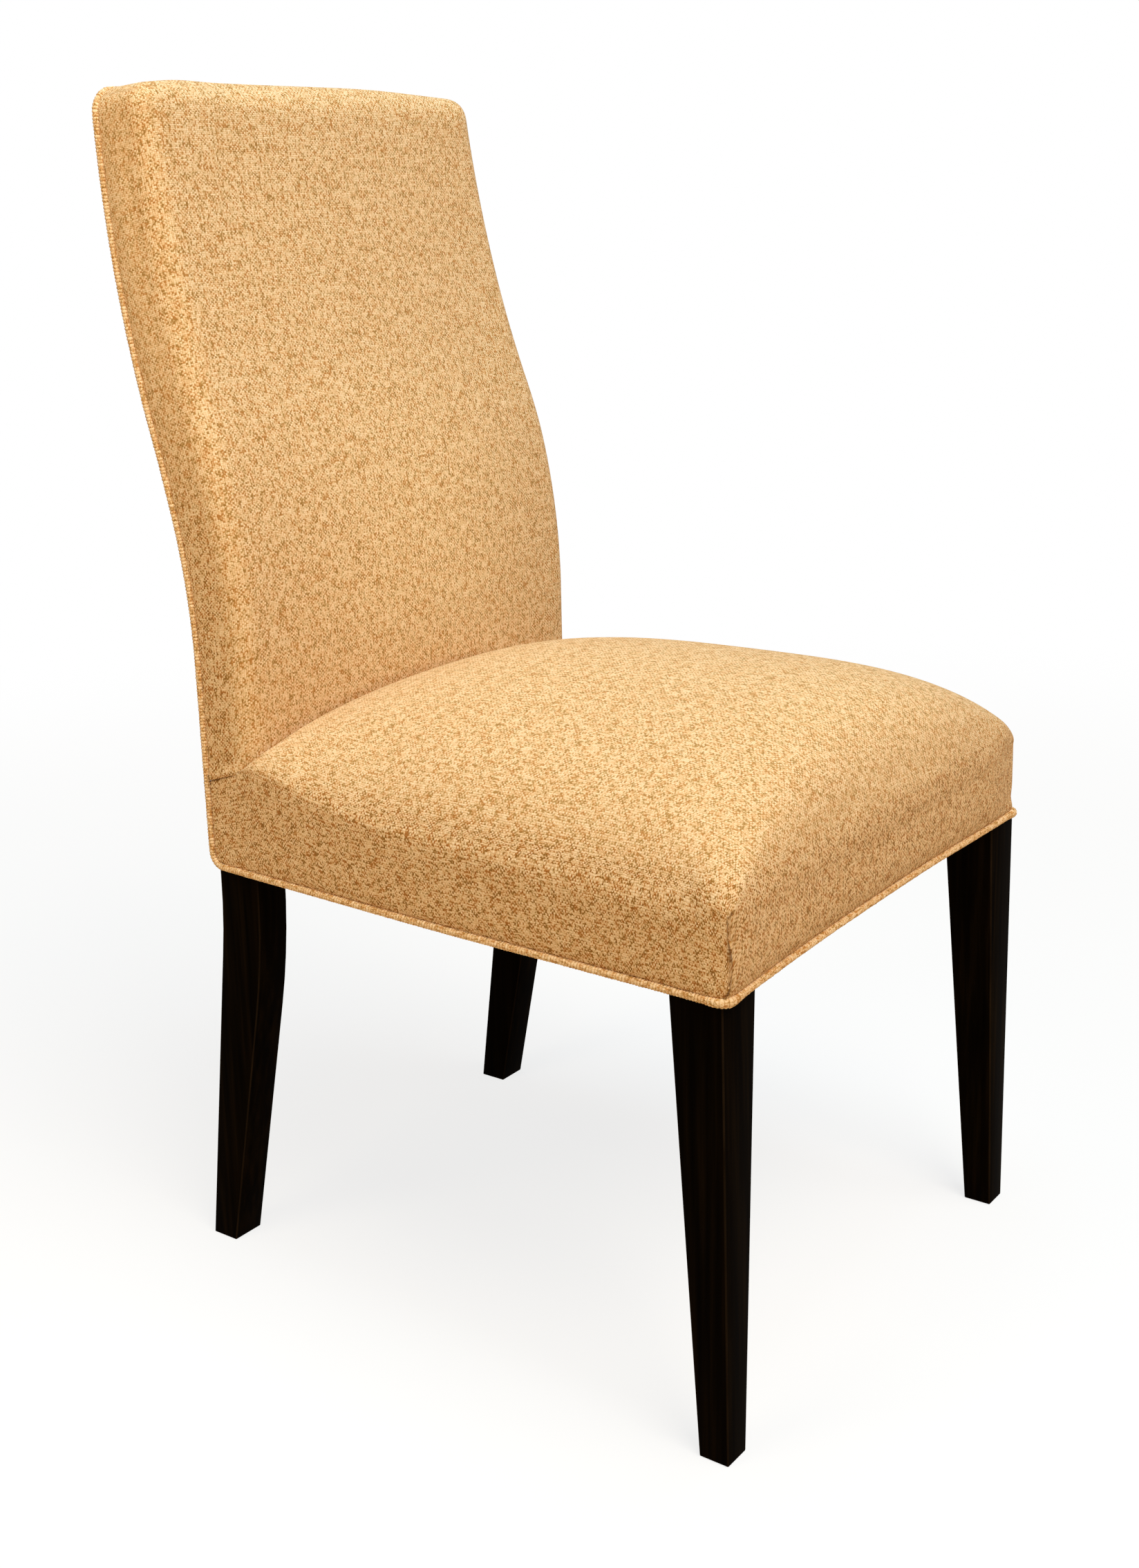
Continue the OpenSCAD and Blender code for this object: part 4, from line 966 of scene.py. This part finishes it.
welt.name = "welt_tweed"
ring_number = np.arange(ring_count)[:, None] * WELT_SIDES
following = (np.arange(ring_count)[:, None] + 1) % ring_count * WELT_SIDES
s0 = np.arange(WELT_SIDES)[None, :]
s1 = (s0 + 1) % WELT_SIDES
quads = np.stack([ring_number + s0, ring_number + s1, following + s1, following + s0], -1)
flat_points = placed(tube[..., 0], tube[..., 1], tube[..., 2]).reshape(-1, 3)
welt.data.clear_geometry()
welt.data.from_pydata(flat_points.tolist(), [], quads.reshape(-1, 4).tolist())
welt.data.update()
along = np.concatenate([station, [WELT_LENGTH]])
uv_u = np.stack([s0, s0 + 1, s0 + 1, s0], -1) * 2 * math.pi * WELT_R / WELT_SIDES
uv_v = np.stack([along[:-1], along[:-1], along[1:], along[1:]], -1)[:, None, :]
paint_uv(welt, np.stack(np.broadcast_arrays(uv_u, uv_v), -1) * MM)
# the welt's flecks are palest: partly wear, partly painted light for the cord that catches the
# light
mark(welt, "worn_and_lit", np.full(len(flat_points), 1.5))
smooth(welt)
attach(welt, "root")
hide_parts("welt", "welt_filler_cord")
print("welt ribs", ribs, "faces", len(welt.data.polygons))

# %% [markdown]
# ## Legs
# The legs are square and tapered, with their sharp corners just taken off with sandpaper. A cube
# is drawn out in lengths, each level is moved to its measured place, and a small bevel eases the
# edges.


# %% Legs: a squared post from a cube
def section(z, side, inner, outer, front, rear):
    """One level of a post on this side: its height, its faces across and its faces along."""
    return (float(z), *sorted((side * inner, side * outer)), float(front), float(rear))


def squared_post(name, levels):
    """A post through these sections, from the floor up."""
    post = fresh(bpy.ops.mesh.primitive_cube_add, size=2, location=(0, 0, 0))
    post.name = name
    mesh = edit(post, "FACE")
    for face in mesh.faces:
        face.select = face.normal.z > 0.9
    bmesh.update_edit_mesh(post.data)
    for _ in range(len(levels) - 2):
        bpy.ops.mesh.extrude_region_move(TRANSFORM_OT_translate={"value": (0, 0, 2)})
    leave()
    co = points_of(post)
    z, left, right, front, rear = np.array(levels)[np.round((co[:, 2] + 1) / 2).astype(int)].T
    x, y = np.where(co[:, 0] < 0, left, right), np.where(co[:, 1] < 0, front, rear)
    set_points(post, placed(x, y, z))
    on_whole(post, bpy.ops.mesh.normals_make_consistent)
    return post


def eased(post, width):
    """Takes off the sharp edges, and marks the narrow faces where the stain is rubbed thin."""
    applied(post, "BEVEL", width=width * MM, segments=3, limit_method="ANGLE",
            angle_limit=math.radians(40), harden_normals=False)
    only(post)
    bpy.ops.object.shade_smooth_by_angle(angle=math.radians(35))
    on_edge = [sum(abs(part) > 0.25 for part in face.normal) > 1 for face in post.data.polygons]
    rubbed = post.data.attributes.new("rubbed", "FLOAT", "FACE")
    rubbed.data.foreach_set("value", np.array(on_edge, float))


LEG_X, LEG_W, FOOT_W, LEG_FRONT, LEG_RAKE, SHOULDER = 243.0, 44.0, 25.0, 10.0, 5.5, 365.0
RAIL_TOP, RAIL_BOTTOM = 424.0, 373.0
SIDES = (("left", -1), ("right", 1))
COVER_ROOM = {"left": 0.0, "right": 7.0}  # the hidden block gives way to the rounder corner
for side_name, side in SIDES:
    foot_y, room = LEG_FRONT - LEG_RAKE, COVER_ROOM[side_name]
    levels = [section(0, side, LEG_X - FOOT_W, LEG_X, foot_y, foot_y + FOOT_W),
              section(SHOULDER, side, LEG_X - LEG_W, LEG_X, LEG_FRONT, LEG_FRONT + LEG_W)]
    levels += [section(z, side, LEG_X - LEG_W, LEG_X - room, LEG_FRONT + room, LEG_FRONT + LEG_W)
               for z in (SHOULDER + 8, RAIL_TOP)]
    leg = squared_post("front_leg_" + side_name + "_eased", levels)
    eased(leg, 1.1)
    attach(leg, "root")
    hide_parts("front_leg_" + side_name)
print("front legs", [round(v, 3) for v in leg.dimensions])

# %% Legs: the sabre-shaped back posts
POST_X, POST_W, POST_FOOT_W, POST_PAD = 212.0, 33.0, 31.0, 8.5
STILE_BACK, STILE_D = 49.7, 26.0
POST_BACK = BACK_FACE_Y + STILE_BACK + 5.5
POST_FRONT = POST_BACK - 43.5
RAKE_START = SHOULDER - 15


def raked(z, face_y, degrees, rise):
    """Depth of a leg face at height z: an arc below the seat, then straight to the floor."""
    angle = math.radians(degrees)
    radius = rise / math.sin(angle)
    drop = np.clip(RAKE_START - z, 0, None)
    on_arc = radius * (1 - np.sqrt(1 - np.clip(drop / radius, 0, math.sin(angle)) ** 2))
    return face_y + on_arc + np.clip(drop - rise, 0, None) * math.tan(angle)


def post_levels(side):
    levels = []
    for z in np.concatenate([[0], np.linspace(60, 350, 13), [364.9]]):
        width = POST_FOOT_W + (POST_W - POST_FOOT_W) * min(z / SHOULDER, 1)
        levels.append(section(z, side, POST_X - width, POST_X,
                              raked(z, POST_FRONT, 11.6, 120), raked(z, POST_BACK, 7.8, 70)))
    for z in (365.1, 400, 427):
        levels.append(section(z, side, POST_X - POST_W, POST_X,
                              POST_FRONT, BACK_FACE_Y + STILE_BACK))
    for z in np.linspace(452, 978, 34):
        outer = half_back(z) - POST_PAD
        y_front, z_front = back_at(z, STILE_BACK - STILE_D)
        y_rear, z_rear = back_at(z, STILE_BACK)
        levels.append(section((z_front + z_rear) / 2, side, outer - POST_W, outer, y_front, y_rear))
    return levels


for side_name, side in SIDES:
    post = squared_post("back_post_" + side_name + "_eased", post_levels(side))
    eased(post, 1.0)
    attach(post, "root")
    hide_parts("back_post_" + side_name)
print("back posts", [round(v, 3) for v in post.dimensions])

# %% [markdown]
# ## Under the seat
# The cover is turned under the rails, and a thin black cloth is stapled over the whole
# underside. It is a single sheet, cut round the legs, and it sags a little between its staples.

# %% Dust cover
DUST_STEPS, DUST_GAP, DUST_SAG, DUST_THICK = 60, 0.45, 2.6, 0.5
rear_y, front_y = BACK_FACE_Y + STILE_BACK - 4, LEG_FRONT + 4
dust = flat_cloth("dust_cover_cloth", DUST_STEPS, DUST_STEPS)
grid = points_of(dust)
y = front_y + (rear_y - front_y) * (grid[:, 1] + 1) / 2
leg_end = LEG_FRONT + LEG_W
beside_rails = LEG_X + (POST_X - LEG_X) * (y - leg_end) / (POST_FRONT - leg_end) - 4
reach = np.where(y < leg_end + 1, LEG_X - LEG_W - 1,
                 np.where(y > POST_FRONT - 1, POST_X - POST_W - 1, beside_rails))
x = grid[:, 0] * reach
inside = np.clip(1 - (x / (reach - 22)) ** 2, 0, 1) * np.clip(1 - ((y - 265) / 215) ** 2, 0, 1)
set_points(dust, placed(x, y, RAIL_BOTTOM - DUST_GAP - DUST_SAG * inside ** 0.7))
on_whole(dust, bpy.ops.mesh.flip_normals)
applied(dust, "SOLIDIFY", thickness=DUST_THICK * MM, offset=-1)
smooth(dust)
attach(dust, "root")
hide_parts("dust_cover")
print("dust cover", [round(v, 3) for v in dust.dimensions])

# %% [markdown]
# ## Tweed
# The tweed is woven in the shader: the cloth's own u and v, in metres, are counted in threads,
# the parity of the two counts says which thread lies on top, and each thread gets its own shade,
# with brown flecks as in spun wool. This keeps the weave at its true size and lets it follow the
# cloth round every corner. The hollows between the threads are darkened in the colour, which is
# painted shade.

# %% Tweed
WARP_PITCH, WEFT_PITCH = 0.0018, 0.00155
PALE_YARN, TAN_YARN = (0.83, 0.598, 0.362, 1), (0.735, 0.475, 0.245, 1)
# colour of the painted shadow in the crease of the left front dart
SEWN_SHADOW = (0.11, 0.042, 0.012, 1)
# ramps for the brown flecks and for the painted shade between the threads
RED_FLECK_AND_SHADE = [(0.0, (1, 1, 1)), (0.4, (0.84, 0.70, 0.50)),
             (0.75, (0.66, 0.46, 0.23)), (1.0, (0.48, 0.26, 0.085))]
DARK_FLECK_AND_SHADE = [(0.0, (1, 1, 1)), (0.4, (0.78, 0.69, 0.50)),
              (0.75, (0.55, 0.44, 0.22)), (1.0, (0.35, 0.22, 0.065))]


def cloth_uv(net, u_size, v_size):
    """The cloth's u and v, counted in threads of these sizes."""
    u, v, _ = net.add("SeparateXYZ", {0: net.add("UVMap", uv_map="cloth")}, slice(None))
    return net.calc("DIVIDE", u, u_size), net.calc("DIVIDE", v, v_size)


def woven(net, u, v):
    """The two thread counts of a plain weave, which thread is on top, and the height, 0 to 1."""
    i, j = net.calc("FLOOR", u), net.calc("FLOOR", v)
    over = net.times(net.calc("FRACT", net.times(net.calc("ADD", i, j), 0.5)), 2.0)
    half = [net.minus(net.calc("FRACT", place), 0.5) for place in (u, v)]
    fall = [net.times(net.times(h, h), 4.0) for h in half]
    ridge = [net.minus(1.0, f) for f in fall]
    dip = [net.calc("MULTIPLY_ADD", f, -0.6, 1.0) for f in fall]
    warp_height, weft_height = net.times(ridge[0], dip[1]), net.times(ridge[1], dip[0])
    return i, j, over, net.mixed(over, warp_height, weft_height)


def tweed_colours(net, u, v, over, yarn, height, gap_shade_depth):
    """Pale yarns with brown flecks, mostly on the crossing thread, and painted shade in the gaps
    between threads.

    Where the cloth is sat on or leaned against, the flecks have paled a little, as on worn cloth.
    They are also paler where the light falls most, on faces turned up and higher up the back's
    sides, which is painted light."""
    flake = net.noise(net.scaled(u, 1.3, v, 0.85, 3.0), 1.0, 1.0)
    dash = net.noise(net.scaled(net.calc("FLOOR", u), 4.37, v, 0.42, 51.0), 1.0, 1.0)
    streak = net.noise(net.scaled(u, 0.9, v, 0.20, 17.0), 1.0)
    cluster = net.noise(net.scaled(u, 0.16, v, 0.12, 8.0), 1.0)
    total = net.mixed(0.42, flake, dash)
    for by, amount in ((cluster, 0.11), (streak, 0.30), (yarn, 0.12), (over, 0.09)):
        total = net.nudged(total, by, amount)
    ground = net.shade_mix(net.stepped(yarn, 0.36, 0.64), PALE_YARN, TAN_YARN)
    tint = net.noise(net.scaled(u, 0.31, v, 0.27, 23.0), 1.0)
    # fewer flecks where the cloth is worn, and painted light on faces that turn to the light
    strength = net.mixed(net.number("worn_and_lit"), 1.2, 0.80)
    flecked = net.times(net.stepped(total, 0.465, 0.62), strength)
    # painted shade in the hollows between the threads, deeper between the welt's ribs
    gap_shade = net.times(net.minus(1.0, net.stepped(height, 0.0, 0.55)), gap_shade_depth)
    dark = net.minus(net.calc("ADD", flecked, gap_shade), net.times(flecked, gap_shade))
    brown = net.shade_mix(net.stepped(tint, 0.40, 0.60),
                          net.shades(dark, RED_FLECK_AND_SHADE), net.shades(dark, DARK_FLECK_AND_SHADE))
    return net.shade_mix(1.0, ground, brown, "MULTIPLY")


def tweed_finish(name, wander):
    net = finish_of(name, 0.86, 0.12, **{"Sheen Weight": 0.05, "Sheen Roughness": 0.6})
    plain_u, plain_v = cloth_uv(net, WARP_PITCH, WEFT_PITCH)
    flat = net.place(plain_u, plain_v, 0.0)
    u = net.nudged(plain_u, net.noise(flat, 0.21, 1.0), wander)
    v = net.nudged(plain_v, net.noise(net.place(plain_v, plain_u, 40.0), 0.23, 1.0), wander)
    i, j, over, height = woven(net, u, v)
    warp_shade = net.noise(net.scaled(i, 3.71, v, 0.21, 5.0), 1.0)
    weft_shade = net.noise(net.scaled(u, 0.25, j, 3.37, 31.0), 1.0)
    yarn = net.mixed(over, warp_shade, weft_shade)
    cloth = tweed_colours(net, u, v, over, yarn, height, 0.38)
    # painted shadow along the crease of the left front dart
    shadow = net.times(net.stepped(net.number("sewn"), 0.15, 0.95), 0.75)
    net.paint(net.shade_mix(shadow, cloth, SEWN_SHADOW))
    fibres = net.noise(flat, 3.1, 1.0)
    net.raised(net.calc("MULTIPLY_ADD", fibres, 0.5, height), 0.0005, 0.5)
    return net.owner


tweed = tweed_finish("tan_tweed", 0.9)
print("tweed nodes", len(tweed.node_tree.nodes))


# %% Tweed on the welt
def welt_finish(name):
    """The same yarns cut on the bias and pulled tight: one rib is one or two yarns."""
    net = finish_of(name, 0.86, 0.12, **{"Sheen Weight": 0.06, "Sheen Roughness": 0.6})
    u, v = cloth_uv(net, WELT_LENGTH * MM / ribs, WELT_LENGTH * MM / ribs)
    yarn = net.noise(net.scaled(net.calc("FLOOR", v), 3.71, u, 0.4, 2.0), 1.0)
    side = net.calc("ABSOLUTE", net.minus(net.calc("FRACT", v), 0.5))
    height = net.minus(1.0, net.calc("POWER", net.times(side, 2.0), 3.0))
    # the hollows between the ribs get painted shade
    net.paint(tweed_colours(net, net.times(u, 2.0), net.times(v, 2.0), 0.5, yarn, height, 0.9))
    net.raised(net.noise(net.place(u, v, 0.0), 5.0, 1.0), 0.0004, 0.5)
    return net.owner


welt_tweed = welt_finish("tan_tweed_welt")


# %% [markdown]
# ## Wood, cloth and metal
# The legs carry a nearly black stain under a satin varnish, which is thin on the sharpest edges.
# The hidden frame is plain beech. Their grain is noise that is stretched along the wood.

# %% Stained wood
STAIN = [(0.3, (0.0014, 0.0008, 0.0004)), (0.5, (0.0030, 0.0017, 0.0007)),
         (0.7, (0.0065, 0.0036, 0.0014))]
net = finish_of("espresso_stain", 0.5, 0.002, **{"Specular Tint": (1.0, 0.70, 0.45, 1)})
grain = net.noise(net.object_place((180, 180, 7)), 1.0, 3.0)
patchy = net.noise(net.object_place((30, 30, 22)), 1.0, 2.0)
rubbed = net.times(net.number("rubbed"), net.times(patchy, 0.7))
net.paint(net.shade_mix(rubbed, net.shades(grain, STAIN), (0.030, 0.018, 0.010, 1)))
net.raised(grain, 0.0002, 0.25)
espresso = net.owner


def wood_finish(name, stretch):
    net = finish_of(name, 0.6, 0.3)
    rings = net.noise(net.object_place(stretch), 1.0, 4.0)
    net.paint(net.shades(rings, [(0.3, (0.42, 0.26, 0.14)), (0.65, (0.60, 0.42, 0.25))]))
    net.raised(rings, 0.0003, 0.3)
    return net.owner


beech_across = wood_finish("beech_across", (6, 140, 140))
beech_along = wood_finish("beech_along", (140, 6, 140))


# %% Webbing, cloth, card and steel
def threads_finish(name, pitch, dark, light, roughness, across, up):
    """A plain weave on two of the object's coordinates, for flat cloth and webbing."""
    net = finish_of(name, roughness, 0.15)
    place = net.add("SeparateXYZ", {0: net.object_place((1 / pitch,) * 3)}, slice(None))
    i, j, over, height = woven(net, place[across], place[up])
    yarn = net.noise(net.place(i, j, net.times(over, 7.0)), 0.83)
    # the colour darkens towards the hollows of the weave, which is painted shade
    net.paint(net.shades(net.nudged(yarn, height, 0.35, 0.6), [(0.25, dark), (0.65, light)]))
    net.raised(height, pitch * 0.3, 0.6)
    return net.owner


def speckled_finish(name, size, dark, light, roughness, bump, metallic=0.0):
    """A fine mottled surface, such as card or steel."""
    net = finish_of(name, roughness, 0.3, Metallic=metallic)
    grains = net.noise(net.object_place((1 / size,) * 3), 1.0, 3.0)
    net.paint(net.shades(grains, [(0.3, dark), (0.7, light)]))
    net.raised(grains, bump, 0.5)
    return net.owner


jute_flat, jute_upright = (
    threads_finish(name, 0.0021, (0.22, 0.14, 0.06), (0.55, 0.40, 0.22), 0.9, 0, up)
    for name, up in (("jute_flat", 1), ("jute_upright", 2)))
black_cloth = threads_finish("black_cloth", 0.0007, (0.004,) * 3, (0.022, 0.021, 0.022), 0.85, 0, 1)
grey_card = speckled_finish(
    "grey_card", 0.0015, (0.25, 0.20, 0.14), (0.42, 0.34, 0.25), 0.8, 0.0002)
bright_steel = speckled_finish(
    "bright_steel", 0.0008, (0.42, 0.42, 0.44), (0.60, 0.60, 0.62), 0.38, 0.00005, 1.0)

# %% Every piece gets its finish
NEW_PIECES = ((seat, tweed), (back, tweed), (panel, tweed), (welt, welt_tweed), (dust, black_cloth))
for piece, material in NEW_PIECES:
    piece.data.materials.clear()
    piece.data.materials.append(material)
for leg_name in ("front_leg_left", "front_leg_right", "back_post_left", "back_post_right"):
    leg = bpy.data.objects[leg_name + "_eased"]
    leg.data.materials.clear()
    leg.data.materials.append(espresso)
CARRIED_OVER = (
    (beech_across, "front_rail rear_rail crest_rail back_lower_rail seat_frame_dowels "
                   "back_frame_dowels corner_block_front_left corner_block_front_right "
                   "corner_block_rear_left corner_block_rear_right"),
    (beech_along, "left_rail right_rail"),
    (jute_flat, "seat_webbing_lengthwise seat_webbing_crosswise seat_burlap"),
    (jute_upright, "back_webbing back_burlap"),
    (grey_card, "back_tack_strip"),
    (bright_steel, "back_edge_strips corner_block_screws dust_cover_staples"),
)
for material, node_names in CARRIED_OVER:
    for node_name in node_names.split():
        for slot in bpy.data.objects[node_name].material_slots:
            slot.material = material
print("finishes", len(bpy.data.materials))
